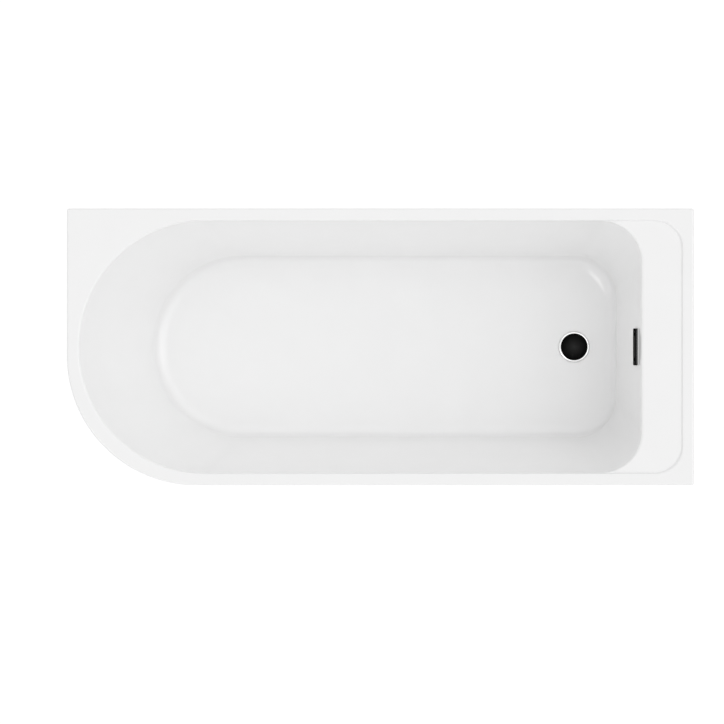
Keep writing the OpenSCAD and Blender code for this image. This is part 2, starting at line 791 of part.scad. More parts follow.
module foot_rod(i) {
    color("#b9bdc1") at_foot(i) translate([0, 0, rod_seat_z + seat_gap])
        cylinder(r = rod_r - run_gap, h = rod_top(i) - rod_seat_z - seat_gap);
}

module foot_pad(i) {
    neck_r = 12;
    base_h = 6;
    color("#202020") at_foot(i) difference() {
        rotate_extrude() polygon([[0, 0], [pad_r, 0], [pad_r, base_h], [neck_r, base_h + 7],
            [neck_r, pad_height], [0, pad_height]]);
        translate([0, 0, rod_seat_z]) cylinder(r = rod_r, h = pad_height);
    }
}

module hex_nut(height) {
    difference() {
        cylinder(r = nut_corner_r, h = height, $fn = 6);
        translate([0, 0, -1]) cylinder(r = rod_r, h = height + 2);
    }
}

adjusting_nut_z = bar_top_z - bar_t - seat_gap - nut_height;

module adjusting_nut(i) {
    color("#d8dadc") at_foot(i) translate([0, 0, adjusting_nut_z]) hex_nut(nut_height);
}

// A side foot's lock nut lies on its bar, and the centre foot's under its other nut
module lock_nut(i) {
    z = i == 5 ? adjusting_nut_z - seat_gap - lock_nut_height : bar_top_z + seat_gap;
    color("#d8dadc") at_foot(i) translate([0, 0, z]) hex_nut(lock_nut_height);
}

// ---- Panel ----

// The strip of plan between two insets that the apron covers: the room side,
// the rounded corner and the head end, but not the two walls' sides
module apron_plan(outer, inner) {
    difference() {
        bath_plan(outer);
        bath_plan(inner);
        translate([inner - half_l, 0]) square([2 * half_l, half_w]);
        translate([0, inner - half_w]) square([half_l, bath_width]);
    }
}

module apron_panel() {
    color("#f4f4f4") {
        translate([0, 0, panel_gap]) linear_extrude(rim_under_z - panel_gap) apron_plan(lip_in, panel_in);
        translate([0, 0, panel_gap]) linear_extrude(panel_t) apron_plan(lip_in, panel_in + panel_return);
    }
}

// Bracket from a leg bar's end to the back of the panel, along -Y
module panel_bracket(x) {
    reach = -panel_in_y - seat_gap;
    y0 = foot_y + nut_corner_r + 6;
    t = bracket_t;
    leg = 60;
    translate([x, 0, bar_top_z + seat_gap]) difference() {
        rotate([90, 0, -90]) linear_extrude(panel_bracket_width, center = true) polygon([
            [y0, 0], [reach, 0], [reach, leg], [reach - t, leg], [reach - t, t], [y0, t]]);
        translate([0, -bolt_y, -1]) cylinder(r = bolt_r + run_gap, h = t + 2);
    }
}

module panel_brackets() {
    color("#9aa0a4") {
        panel_bracket(head_bar_x);
        panel_bracket(tap_bar_x);
    }
}

module panel_bracket_bolts() {
    head_r = 4.25;
    head_t = 3.5;
    nut_r = 4.6;
    nut_t = 4;
    end = 9;
    grip = seat_gap + bracket_t + seat_gap;
    color("silver") for (x = [head_bar_x, tap_bar_x])
        translate([x, -bolt_y, bar_top_z + grip]) {
            cylinder(r = head_r, h = head_t);
            translate([0, 0, -grip - bar_t - end]) cylinder(r = bolt_r, h = grip + bar_t + end + 1);
            translate([0, 0, -grip - bar_t - seat_gap - nut_t]) cylinder(r = nut_r, h = nut_t, $fn = 6);
        }
}

module head_panel_stay() {
    reach = half_l - panel_in - seat_gap;
    t = bracket_t;
    leg = 50;
    color("#9aa0a4") translate([0, stay_y, bar_top_z]) difference() {
        rotate([90, 0, 0]) linear_extrude(panel_bracket_width, center = true) polygon([
            [stay_x1, 0], [t - reach, 0], [t - reach, leg], [-reach, leg],
            [-reach, -t], [stay_x1, -t]]);
        for (x = stay_screw_x)
            translate([x, 0, -t - 1]) cylinder(r = wood_screw_r + run_gap, h = t + 2);
    }
}

// ---- Wall brackets ----

under_lip_z = rim_height - lip_height - fit_gap;
// How far the tap-end bracket reaches under its board, and the height of the
// fixing holes above a bracket's foot
shelf_bracket_hold = 24;
fixing_rise = 16;

// Children for each bracket, in a frame with the wall at x = 0 and the bath at -x:
// two on the long wall, seated under the batten, and one on the tap-end wall,
// seated under the tap shelf's board
module wall_bracket_places() {
    for (side = [-1, 1])
        translate([side * bracket_x, half_w, 0]) rotate([0, 0, 90]) {
            $seat_z = batten_z - seat_gap;
            $reach = lip_in + wall_batten_width;
            children();
        }
    translate([half_l, 0, 0]) {
        $seat_z = shelf_board_z - seat_gap;
        $reach = half_l - shelf_board_x1 + shelf_bracket_hold;
        children();
    }
}

seat_screw_inset = 8;

module bracket_seat_holes() {
    for (side = [-1, 1])
        translate([seat_screw_inset - $reach, side * bracket_width / 4, $seat_z - 1 - bracket_t])
            cylinder(r = wood_screw_r + run_gap, h = bracket_t + 2 + wood_screw_grip);
}

module wall_bracket_shape() {
    t = bracket_t;
    difference() {
        rotate([90, 0, 0]) linear_extrude(bracket_width, center = true) polygon([
            [-$reach, $seat_z], [-lip_in, $seat_z], [-lip_in, under_lip_z], [0, under_lip_z],
            [0, under_lip_z - bracket_leg], [-t, under_lip_z - bracket_leg],
            [-t, under_lip_z - t], [-lip_in - t, under_lip_z - t],
            [-lip_in - t, $seat_z - t], [-$reach, $seat_z - t]]);
        bracket_seat_holes();
        for (side = [-1, 1])
            translate([-t - 1, side * bracket_holes / 2, under_lip_z - bracket_leg + fixing_rise])
                rotate([0, 90, 0]) cylinder(r = bracket_hole_r, h = t + 2);
    }
}

module wall_brackets() {
    color("#9aa0a4") wall_bracket_places() wall_bracket_shape();
}

module bracket_screws() {
    color("silver") wall_bracket_places() for (side = [-1, 1])
        translate([seat_screw_inset - $reach, side * bracket_width / 4, $seat_z - bracket_t - seat_gap])
            wood_screw(bracket_t);
}

// ---- Waste and click plug ----

top_seal_t = 1;
flange_t = 2.4;
flange_z = recess_z + top_seal_t + 2 * seat_gap;
flange_top_z = flange_z + flange_t;
tube_inner_r = waste_thread_r - waste_tube_wall;
collar_r = 37;
collar_h = 6;
chamber_top_z = inlet_height + hose_root_r + 0.5;
chamber_z = inlet_height - hose_root_r - 4;
outlet_z = chamber_z - outlet_length;
tube_end_z = chamber_top_z + 2;
chamber_r = waste_thread_r - 1.4;
chamber_floor = 3;
outlet_bore_r = waste_thread_r - 4;
hub_r = 10;
hub_top_z = flange_z - 2;
hub_h = 9;
cartridge_r = 7;
stem_r = 4;
cartridge_length = plug_travel + 25;
cartridge_z = hub_top_z + 1 - cartridge_length;
cartridge_floor = 3;
stem_top_z = flange_top_z + seat_gap + 2;
spring_z = cartridge_z + cartridge_floor + seat_gap;
spring_length = plug_travel + 4;
stem_z = spring_z + spring_length + seat_gap;

module at_waste(z = 0) {
    translate([waste_x, 0, z]) children();
}

module ring(outer, inner, height) {
    difference() {
        cylinder(r = outer, h = height);
        translate([0, 0, -1]) cylinder(r = inner, h = height + 2);
    }
}

module waste_top_seal() {
    color("white") at_waste(recess_z + seat_gap) ring(flange_r - 1, waste_thread_r + 1, top_seal_t);
}

module waste_lower_seal() {
    color("#2a2a2a") at_waste(backing_z - seat_gap - lower_seal_t)
        ring(collar_r, waste_thread_r + fit_gap, lower_seal_t);
}

module waste_flange() {
    spoke = 3;
    edge_h = 0.8;
    edge_run = 2.5;
    color("#d9dbdd") at_waste() difference() {
        union() {
            difference() {
                union() {
                    translate([0, 0, flange_z]) rotate_extrude() polygon([
                        [0, 0], [flange_r, 0], [flange_r, edge_h], [flange_r - edge_run, flange_t],
                        [0, flange_t]]);
                    translate([0, 0, tube_end_z])
                        cylinder(r = waste_thread_r, h = flange_z - tube_end_z + 0.1);
                }
                translate([0, 0, tube_end_z - 1])
                    cylinder(r = tube_inner_r, h = flange_top_z - tube_end_z + 2);
            }
            translate([0, 0, hub_top_z - hub_h]) {
                cylinder(r = hub_r, h = hub_h);
                for (turn = [0, 90])
                    rotate([0, 0, turn])
                        translate([-tube_inner_r - 0.5, -spoke / 2, 0])
                            cube([2 * tube_inner_r + 1, spoke, hub_h - 2]);
            }
        }
        translate([0, 0, hub_top_z - hub_h - 1]) cylinder(r = cartridge_r, h = hub_h + 2);
    }
}

module waste_body() {
    inlet_root = inlet_collar_x + collar_t - waste_x - chamber_r - 1;
    color("#e8e8e4") difference() {
        union() {
            at_waste(body_top_z - collar_h) cylinder(r = collar_r, h = collar_h);
            at_waste(chamber_z) cylinder(r = body_r, h = body_top_z - chamber_z - 1);
            at_waste(outlet_z) cylinder(r = waste_thread_r, h = outlet_length + 1);
            translate([inlet_collar_x + collar_t, 0, inlet_height])
                rotate([0, -90, 0]) spigot(inlet_root);
        }
        at_waste(chamber_top_z) cylinder(r = waste_thread_r + run_gap, h = body_top_z - chamber_top_z + 1);
        at_waste(chamber_z + chamber_floor) cylinder(r = chamber_r, h = chamber_top_z - chamber_z);
        at_waste(outlet_z - 1) cylinder(r = outlet_bore_r, h = outlet_length + chamber_floor + 2);
        translate([inlet_collar_x + collar_t, 0, inlet_height])
            rotate([0, -90, 0]) spigot_bore(inlet_root + 4);
    }
}

module click_cartridge() {
    color("#c8a24a") at_waste(cartridge_z) difference() {
        cylinder(r = cartridge_r - run_gap, h = cartridge_length);
        translate([0, 0, cartridge_floor]) cylinder(r = stem_r + run_gap, h = cartridge_length);
    }
}

spring_turns = 5;
spring_wire_r = 0.5;
spring_r = 3;

function spring_ring(i) =
    let (turn = i / 8,
         a = 360 * turn,
         z = spring_wire_r + (spring_length - 2 * spring_wire_r) * i / (8 * spring_turns))
    [for (j = [0:5])
        let (b = 60 * j, r = spring_r + spring_wire_r * cos(b))
        [r * cos(a), r * sin(a), z + spring_wire_r * sin(b)]];

// Least distance between points of rings at least three quarters of a turn apart
function least_self_gap(rings) =
    min([for (i = [0:len(rings) - 7]) for (k = [i + 6:len(rings) - 1])
        for (p = rings[i]) for (q = rings[k]) norm(p - q)]);

module click_spring() {
    rings = [for (i = [0:8 * spring_turns]) spring_ring(i)];
    echo(spring_self_gap = least_self_gap(rings));
    color("#b9bdc1") at_waste(spring_z) ring_skin(rings);
}

module plug_stem() {
    color("#c0c4c8") at_waste(stem_z) cylinder(r = stem_r, h = stem_top_z - stem_z);
}

cap_edge_h = 3;
cap_wall = 2.5;
plug_seal_width = 6;
plug_seal_t = 1.9;
cap_z = flange_top_z + fit_gap;
cap_under_z = stem_top_z + seat_gap;

module plug_cap() {
    dome_r = (cap_r * cap_r + cap_dome * cap_dome) / (2 * cap_dome);
    color("#161616") at_waste(cap_z) difference() {
        rotate_extrude() union() {
            square([cap_r, cap_edge_h]);
            intersection() {
                translate([0, cap_edge_h + cap_dome - dome_r]) circle(r = dome_r, $fn = 720);
                translate([0, cap_edge_h - 0.1]) square([cap_r, cap_dome + 1]);
            }
        }
        translate([0, 0, -1]) cylinder(r = cap_r - cap_wall, h = cap_under_z - cap_z + 1);
    }
}

module plug_seal() {
    outer = cap_r - cap_wall - 0.5;
    color("#2a2a2a") at_waste(flange_top_z + seat_gap) ring(outer, outer - plug_seal_width, plug_seal_t);
}

for (i = [1:5]) {
    foot_rod(i);
    foot_pad(i);
    adjusting_nut(i);
    lock_nut(i);
}
tub_shell();
glass_fibre_backing();
baseboard();
tap_shelf_board();
wall_side_batten();
room_side_batten();
leg_bar_head();
leg_bar_tap();
centre_foot_plate();
leg_screws();
apron_panel();
panel_brackets();
panel_bracket_bolts();
head_panel_stay();
wall_brackets();
bracket_screws();
overflow_plate();
overflow_front_seal();
overflow_rear_seal();
overflow_elbow();
overflow_screws();
overflow_hose();
hose_clips();
waste_flange();
waste_top_seal();
waste_lower_seal();
waste_body();
click_cartridge();
click_spring();
plug_stem();
plug_cap();
plug_seal();
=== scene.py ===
from math import atan, cos, pi, radians, sin, sqrt, tan

import bmesh
import bpy
import numpy as np
from mathutils import Matrix, Vector


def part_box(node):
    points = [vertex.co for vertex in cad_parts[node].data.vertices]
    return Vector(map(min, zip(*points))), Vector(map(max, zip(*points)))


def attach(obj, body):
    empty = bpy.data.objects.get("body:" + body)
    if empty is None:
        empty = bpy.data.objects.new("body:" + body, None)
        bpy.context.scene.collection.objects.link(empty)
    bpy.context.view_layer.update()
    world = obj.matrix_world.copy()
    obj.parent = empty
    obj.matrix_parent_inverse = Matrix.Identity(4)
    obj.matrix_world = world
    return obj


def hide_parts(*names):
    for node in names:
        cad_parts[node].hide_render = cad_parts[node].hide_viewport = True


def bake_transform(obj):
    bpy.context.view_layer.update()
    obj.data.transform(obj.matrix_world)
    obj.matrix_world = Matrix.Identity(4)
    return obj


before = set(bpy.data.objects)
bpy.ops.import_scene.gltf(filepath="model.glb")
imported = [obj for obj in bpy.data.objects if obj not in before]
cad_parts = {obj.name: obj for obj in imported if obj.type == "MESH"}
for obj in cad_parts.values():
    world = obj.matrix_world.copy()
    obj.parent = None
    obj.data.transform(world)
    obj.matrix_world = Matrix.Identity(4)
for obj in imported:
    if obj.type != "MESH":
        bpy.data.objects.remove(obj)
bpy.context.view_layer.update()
MM = 0.001
SIDES = (-1, 1)

# ------------ sizes, in mm, as in part.scad
HALF_L, HALF_W, RIM_Z = 850, 375, 580
CORNER_R, WALL_CORNER_R, TAP_CORNER_R = 350, 6, 7
RIM_W, LIP_H, LIP_R, RIM_ROLL = 32, 40, 5, 4
SHELF_W, SHELF_DROP, SHELF_CORNER, SHELF_STEP, SHELF_ROLL = 110, 6, 75, 6, 5
DEPTH, FALL, HEAD_RUN, SIDE_RUN, TAP_RUN = 420, 8, 212, 103, 74
BASIN_CORNER, FLOOR_CURVE, CURVE_W = 110, 22, 34
SHELL_T, BACK_T, BACK_DROP, LEAN = 5, 3, 24, 1.05
SEAT, FIT, RUN, LIP_GAP = 0.1, 0.3, 0.05, 0.7
WASTE_SETBACK, RECESS, CAP_R = 109, 2, 36.5
OVER_DEPTH, SLOT_W, SLOT_H = 76, 64, 13
RIM_X, RIM_Y = HALF_L - RIM_W, HALF_W - RIM_W
TAP_EDGE = RIM_X - SHELF_W
TAP_FOOT = TAP_EDGE - TAP_RUN
HEAD_FOOT = HEAD_RUN - RIM_X
WASTE_X = TAP_FOOT - WASTE_SETBACK
SLOPE = FALL / (WASTE_X - HEAD_FOOT)
TILT_START = SHELF_DROP + 3 * SHELF_ROLL
SHELL_OFF = SHELL_T * LEAN
SKIN_OFF = SHELL_OFF + SEAT + BACK_T * LEAN
BASIN_Z = RIM_Z - DEPTH
BACKING_Z = BASIN_Z - SHELL_T - SEAT - BACK_T
RECESS_Z = BASIN_Z - RECESS
TILT = atan(TAP_RUN / (DEPTH - SHELF_DROP))
OVER_X = TAP_EDGE - TAP_RUN * OVER_DEPTH / (DEPTH - SHELF_DROP)
OVER_Z = RIM_Z - SHELF_DROP - OVER_DEPTH
PAST = 20    # how far a cutter reaches past what it cuts
SHARP = 35   # degrees from which an edge is drawn sharp


# ------------ mesh helpers
def add(data, name="part"):
    """A new object in the scene."""
    obj = bpy.data.objects.new(name, data)
    bpy.context.scene.collection.objects.link(obj)
    return obj


def make(verts, faces, angle=SHARP):
    """A mesh object from points in mm, smooth but for edges sharper than angle."""
    mesh = bpy.data.meshes.new("part")
    mesh.from_pydata([(x * MM, y * MM, z * MM) for x, y, z in verts], [], faces)
    obj = add(mesh)
    tidy(obj, angle)
    return obj


def tidy(obj, angle=SHARP):
    """Joins double points, drops loose ones, turns the faces out and marks the sharp edges."""
    bm = bmesh.new()
    bm.from_mesh(obj.data)
    bmesh.ops.remove_doubles(bm, verts=bm.verts, dist=0.001 * MM)
    loose = [v for v in bm.verts if not v.link_faces]
    bmesh.ops.delete(bm, geom=loose, context="VERTS")
    bmesh.ops.recalc_face_normals(bm, faces=bm.faces)
    limit = radians(angle)
    for f in bm.faces:
        f.smooth = True
    for e in bm.edges:
        e.smooth = len(e.link_faces) == 2 and e.calc_face_angle(pi) < limit
    bm.to_mesh(obj.data)
    bm.free()


def apply_modifiers(obj):
    dg = bpy.context.evaluated_depsgraph_get()
    mesh = bpy.data.meshes.new_from_object(obj.evaluated_get(dg))
    old = obj.data
    obj.modifiers.clear()
    obj.data = mesh
    mesh.name = obj.name
    bpy.data.meshes.remove(old)


def cut(obj, cutters, angle=SHARP, how="DIFFERENCE"):
    for c in cutters:
        m = obj.modifiers.new("cut", "BOOLEAN")
        m.operation, m.object, m.solver = how, c, "EXACT"
        apply_modifiers(obj)
    for c in cutters:
        bpy.data.objects.remove(c)
    tidy(obj, angle)


def bevel(obj, width, segments=2, angle=30, flat=False):
    """Softens the edges; flat keeps the wide faces between them flat in the light."""
    m = obj.modifiers.new("bevel", "BEVEL")
    m.width, m.segments, m.limit_method = width * MM, segments, "ANGLE"
    m.angle_limit = radians(angle)
    m.harden_normals = False
    apply_modifiers(obj)
    tidy(obj)
    for face in obj.data.polygons:
        if flat and face.loop_total > 4:
            face.use_smooth = False
    return obj


def place(obj, matrix):
    """Moves the mesh itself, so that the object stays at the origin."""
    obj.data.transform(matrix)
    obj.data.update()
    return obj


def shift(x=0, y=0, z=0):
    return Matrix.Translation((x * MM, y * MM, z * MM))


def turn(axis, degrees):
    return Matrix.Rotation(radians(degrees), 4, axis)


UPRIGHT = Matrix(((1, 0, 0, 0), (0, 0, -1, 0), (0, 1, 0, 0), (0, 0, 0, 1)))
LYING = Matrix(((0, 0, 1, 0), (1, 0, 0, 0), (0, 1, 0, 0), (0, 0, 0, 1)))
TAP_WALL = shift(OVER_X, 0, OVER_Z) @ Matrix.Rotation(TILT, 4, "Y")
AT_WASTE = shift(WASTE_X)


def join(objs):
    bm = bmesh.new()
    for o in objs:
        bm.from_mesh(o.data)
    mesh = bpy.data.meshes.new("part")
    bm.to_mesh(mesh)
    bm.free()
    for o in objs:
        bpy.data.objects.remove(o)
    return add(mesh)


def copies(source, matrices):
    out = [place(add(source.data.copy()), m) for m in matrices]
    bpy.data.objects.remove(source)
    return join(out)


def grid_faces(rows, n, closed_rows=False):
    """Quads between rows of n points each, every row a closed ring."""
    out = []
    for i in range(rows if closed_rows else rows - 1):
        a, b = i * n, (i + 1) % rows * n
        for j in range(n):
            k = (j + 1) % n
            out.append((a + j, a + k, b + k, b + j))
    return out


def skin(rings, angle=SHARP, joined=False):
    """A closed skin through rings of points, its two ends closed by fans."""
    n, m = len(rings[0]), len(rings)
    verts = [tuple(p) for r in rings for p in r]
    faces = grid_faces(m, n, joined)
    for at, first in () if joined else ((0, True), (m - 1, False)):
        centre = len(verts)
        verts.append(tuple(np.mean(np.array(rings[at]), axis=0)))
        for j in range(n):
            edge = (at * n + (j + 1) % n, at * n + j)
            faces.append((centre, *(edge if first else edge[::-1])))
    return make(verts, faces, angle)


def circle(r, sides):
    """Points round the Z axis, or the one point on it where r is 0."""
    turns = [2 * pi * j / sides for j in range(sides if r > 0 else 1)]
    return [(r * cos(a), r * sin(a)) for a in turns]


def arc(cx, cy, r, start, sweep, steps):
    """Points about (cx, cy), from the angle start over sweep degrees."""
    turns = [radians(start + sweep * i / steps) for i in range(steps + 1)]
    return [(cx + r * cos(a), cy + r * sin(a)) for a in turns]


def round_box(width, depth, r, steps):
    """Outline of a rectangle with round corners."""
    out = []
    for cx, cy, start in ((1, 1, 0), (-1, 1, 90), (-1, -1, 180), (1, -1, 270)):
        out += arc(cx * (width / 2 - r), cy * (depth / 2 - r), r, start, 90, steps)
    return out


def rounded(points):
    """An outline from (x, y, r) corners, each rounded to its own radius."""
    out, n, steps = [], len(points), 4
    for i, (x, y, r) in enumerate(points):
        p = Vector((x, y))
        u = (Vector(points[i - 1][:2]) - p).normalized()
        v = (Vector(points[(i + 1) % n][:2]) - p).normalized()
        half = u.angle(v) / 2
        centre = p + (u + v).normalized() * (r / sin(half))
        a, b = (p + side * (r / tan(half)) - centre for side in (u, v))
        out += [tuple(centre + r * a.slerp(b, k / steps)) for k in range(steps + 1)]
    return out


def lathe(profile, sides, z=0):
    """A solid turned about Z from a closed profile of points (r, height above z)."""
    verts, faces, rows = [], [], []
    for r, rise in profile:
        points = circle(r, sides)
        rows.append(range(len(verts), len(verts) + len(points)))
        verts += [(x, y, z + rise) for x, y in points]
    for i, a in enumerate(rows):
        b = rows[(i + 1) % len(rows)]
        for j in range(sides):
            k = (j + 1) % sides
            if len(a) > 1 and len(b) > 1:
                faces.append((a[j], a[k], b[k], b[j]))
            elif len(b) > 1:
                faces.append((a[0], b[k], b[j]))
            elif len(a) > 1:
                faces.append((a[j], a[k], b[0]))
    return make(verts, faces)


def prism(outline, z0, z1):
    """A solid with a plan outline of (x, y) points, from z0 to z1."""
    n = len(outline)
    verts = [(x, y, z) for z in (z0, z1) for x, y in outline]
    faces = [tuple(range(n - 1, -1, -1)), tuple(range(n, 2 * n))]
    faces += [(j, (j + 1) % n, (j + 1) % n + n, j + n) for j in range(n)]
    return make(verts, faces)


def slab(outline, x0, x1):
    """A slab on the tap-end wall, from x0 to x1 square to it. The outline's x lies along Y."""
    return place(prism(outline, x0, x1), TAP_WALL @ LYING)


def peg(r, z0, z1, x=0, y=0, sides=64):
    return place(lathe([(0, z0), (r, z0), (r, z1), (0, z1)], sides), shift(x, y))


def pressed(outline, width, matrix, holes):
    """Bent sheet from (x, z, radius) corners, width along Y, its holes (x, y, z, radius) along Z."""
    o = place(prism(rounded(outline), -width / 2, width / 2), UPRIGHT)
    cut(o, [peg(r, z - 8, z + 8, x, y, 28) for x, y, z, r in holes])
    bevel(o, 0.25, 1, 50, flat=True)
    return place(o, matrix)


def piece(obj, mat, node, body="bath", name=None):
    """Stands obj in a CAD node's place, riding its body."""
    obj.name = name or node + "_piece"
    obj.data.materials.clear()
    obj.data.materials.append(M[mat])
    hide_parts(node)
    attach(obj, body)


def dress(node, mat, width, segments):
    """Stands a copy of a CAD node with softened edges in its place."""
    obj = add(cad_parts[node].data.copy())
    obj.data.materials.clear()
    bm = bmesh.new()
    bm.from_mesh(obj.data)
    bmesh.ops.remove_doubles(bm, verts=bm.verts, dist=0.01 * MM)
    bmesh.ops.dissolve_limit(bm, angle_limit=radians(1), verts=bm.verts, edges=bm.edges)
    bm.to_mesh(obj.data)
    bm.free()
    piece(bevel(obj, width, segments, flat=True), mat, node)


# ------------ materials
def linear(v):
    v = v / 255
    return v / 12.92 if v <= 0.04045 else ((v + 0.055) / 1.055) ** 2.4


def rgb(r, g, b):
    return (linear(r), linear(g), linear(b), 1)


def grey(v):
    return rgb(v, v, v)


def shade(v, by):
    return tuple(min(1, c * by) for c in v[:3]) + (1,)


def add_node(tree, kind, values=None, **settings):
    """A new shader node; values gives its sockets a number or a link, by name or place."""
    n = tree.nodes.new("ShaderNode" + kind)
    for k, v in settings.items():
        setattr(n, k, v)
    for k, v in (values or {}).items():
        if isinstance(v, bpy.types.NodeSocket):
            tree.links.new(v, n.inputs[k])
        else:
            n.inputs[k].default_value = v
    return n


M = {}  # materials by name


class Shade:
    """A Principled material whose fine detail comes from procedural nodes."""

    def __init__(self, name, base, rough, metal=0, **inputs):
        M[name] = bpy.data.materials.new(name)
        M[name].use_nodes = True
        self.tree = M[name].node_tree
        self.bsdf = self.tree.nodes["Principled BSDF"]
        self.base, self.relief = base, None
        inputs.update(Base_Color=base, Roughness=rough, Metallic=metal)
        for key, value in inputs.items():
            self.bsdf.inputs[key.replace("_", " ")].default_value = value
        self.coord = self.node("TexCoord").outputs["Object"]

    def node(self, kind, values=None, **settings):
        return add_node(self.tree, kind, values, **settings)

    def feed(self, key, value):
        self.tree.links.new(value, self.bsdf.inputs[key])

    def stretched(self, x, y, z):
        return self.node("Mapping", {"Scale": (x, y, z), "Vector": self.coord}).outputs["Vector"]

    def noise(self, scale, detail=3, rough=0.5, vector=None, distort=0):
        values = {"Scale": scale, "Detail": detail, "Roughness": rough, "Distortion": distort}
        return self.node("TexNoise", {**values, "Vector": vector or self.coord}).outputs["Fac"]

    def voronoi(self, scale, vector, feature="F1", output="Color"):
        values = {"Scale": scale, "Vector": vector}
        return self.node("TexVoronoi", values, feature=feature).outputs[output]

    def ramp(self, value, stops):
        n = self.node("ValToRGB", {"Fac": value})
        e = n.color_ramp.elements
        while len(e) < len(stops):
            e.new(0.5)
        for el, (pos, col) in zip(e, stops):
            el.position, el.color = pos, col
        return n.outputs["Color"]

    def color(self, value, stops):
        self.feed("Base Color", self.ramp(value, stops))

    def vary(self, value, low, high):
        """The base colour, between low and high times its brightness."""
        self.color(value, [(0.3, shade(self.base, low)), (0.7, shade(self.base, high))])

    def rough(self, value, lo, hi, a=0.3, b=0.7):
        """Roughness from lo to hi as value goes from a to b."""
        values = {"Value": value, "From Min": a, "From Max": b, "To Min": lo, "To Max": hi}
        self.feed("Roughness", self.node("MapRange", values).outputs["Result"])

    def bump(self, value, depth_mm, strength):
        """One more layer of relief."""
        values = {"Distance": depth_mm * MM, "Strength": strength, "Height": value}
        if self.relief is not None:
            values["Normal"] = self.relief
        self.relief = self.node("Bump", values).outputs["Normal"]
        self.feed("Normal", self.relief)


def acrylic(name, base):
    s = Shade(name, base, 0.12, IOR=1.49, Coat_Weight=0.25, Coat_Roughness=0.04)
    s.vary(s.noise(9, 2), 0.994, 1.004)
    s.rough(s.noise(55, 4), 0.10, 0.15)
    s.bump(s.noise(38, 2, 0.4), 0.012, 0.35)
    s.bump(s.noise(900, 2), 0.002, 0.25)


def glass_fibre():
    """Resin over strands that lie two ways."""
    s = Shade("glass_fibre", rgb(196, 190, 164), 0.45, IOR=1.5)
    strands = [s.voronoi(scale, s.stretched(*stretch), "DISTANCE_TO_EDGE", "Distance")
               for scale, stretch in ((190, (1, 5, 2)), (170, (5, 1, 3)))]
    cloud = s.ramp(s.noise(35, 5, 0.7, distort=0.8), [(0.3, grey(90)), (0.7, grey(240))])
    s.color(cloud, [(0.1, rgb(176, 167, 134)), (0.9, rgb(214, 210, 188))])
    s.rough(s.noise(30, 3), 0.30, 0.62)
    s.bump(s.node("Math", dict(enumerate(strands)), operation="MINIMUM").outputs[0], 0.35, 0.6)
    s.bump(s.noise(45, 4, 0.6), 0.7, 0.5)


def chipboard():
    s = Shade("chipboard", rgb(190, 152, 104), 0.75)
    cells = s.voronoi(260, s.stretched(1, 1, 2.2))
    s.color(cells, [(0, rgb(150, 112, 66)), (0.45, rgb(190, 150, 98)), (1, rgb(220, 188, 138))])
    s.rough(cells, 0.6, 0.85, 0, 1)
    s.bump(cells, 0.15, 0.6)
    s.bump(s.noise(600, 3), 0.05, 0.5)


def timber():
    s = Shade("timber", rgb(205, 165, 112), 0.6)
    rings = s.noise(16, 4, 0.55, s.stretched(0.6, 14, 14), 1.2)
    s.color(rings, [(0.3, rgb(176, 130, 80)), (0.5, rgb(205, 166, 112)), (0.7, rgb(222, 188, 138))])
    s.rough(rings, 0.5, 0.72)
    s.bump(s.noise(60, 5, 0.6, s.stretched(1, 18, 18)), 0.12, 0.6)


def zinc_steel():
    base = rgb(176, 180, 183)
    s = Shade("zinc_steel", base, 0.38, 1)
    cells = s.voronoi(85, s.stretched(1, 1.4, 1))
    s.color(cells, [(0, shade(base, 0.82)), (0.5, base), (1, shade(base, 1.15))])
    s.rough(cells, 0.28, 0.50, 0, 1)
    s.bump(s.noise(260, 4), 0.015, 0.4)


def bright_steel():
    s = Shade("fasteners", rgb(196, 198, 200), 0.26, 1)
    fine = s.noise(500, 4, 0.6, s.stretched(1, 1, 6))
    s.vary(fine, 0.88, 1.06)
    s.rough(fine, 0.18, 0.36)
    s.bump(fine, 0.006, 0.4)


def moulded(name, base, rough, grain):
    """Moulded plastic or rubber with a fine grain, its depth in mm."""
    s = Shade(name, base, rough)
    s.vary(s.noise(40, 3), 0.93, 1.05)
    s.rough(s.noise(70, 4), rough * 0.88, rough * 1.14)
    s.bump(s.noise(1400, 3, 0.6), grain, 0.5)


def brass():
    """Turned brass, its tool marks running round."""
    s = Shade("brass", rgb(206, 170, 96), 0.25, 1)
    lines = s.noise(900, 2, 0.5, s.stretched(0.2, 0.2, 8))
    s.vary(s.noise(60, 3), 0.86, 1.06)
    s.rough(lines, 0.18, 0.34)
    s.bump(lines, 0.006, 0.5)


def matt_black(name, ior):
    """Black coated metal, still without its colour."""
    s = Shade(name, grey(9), 0.38, IOR=ior)
    s.rough(s.noise(300, 4), 0.33, 0.45)
    s.bump(s.noise(1600, 2), 0.012, 0.5)
    return s


def black_metal():
    s = matt_black("black_metal", 1.22)
    s.vary(s.noise(120, 3), 0.85, 1.2)


def black_cap():
    """Painted highlight: lighter in the middle of the dome than at its edge, in place of the dome's
    reflection of light from above.
    """
    s = matt_black("black_cap", 1.1)
    across = 1 / (CAP_R * MM)
    about_waste = s.node("Mapping", {"Location": (-WASTE_X * MM * across, 0, 0),
                                     "Scale": (across, across, 0), "Vector": s.coord})
    # Painted highlight: 1 in the middle of the cap, falling to 0 at its edge.
    painted_highlight = s.node("TexGradient", {0: about_waste.outputs["Vector"]}, gradient_type="SPHERICAL")
    # The painted highlight, with a little random grain added to it.
    grain = s.node("Math", {0: s.noise(200, 4), 1: 0.03, 2: painted_highlight.outputs["Fac"]}, operation="MULTIPLY_ADD")
    # Painted highlight tones, from the dome's edge at 0 to its middle at 1.
    highlight_tones = ((0, 2), (0.12, 4), (0.2, 9), (0.35, 18), (0.5, 26), (0.65, 32), (1, 43))
    s.color(grain.outputs[0], [(at, grey(v)) for at, v in highlight_tones])


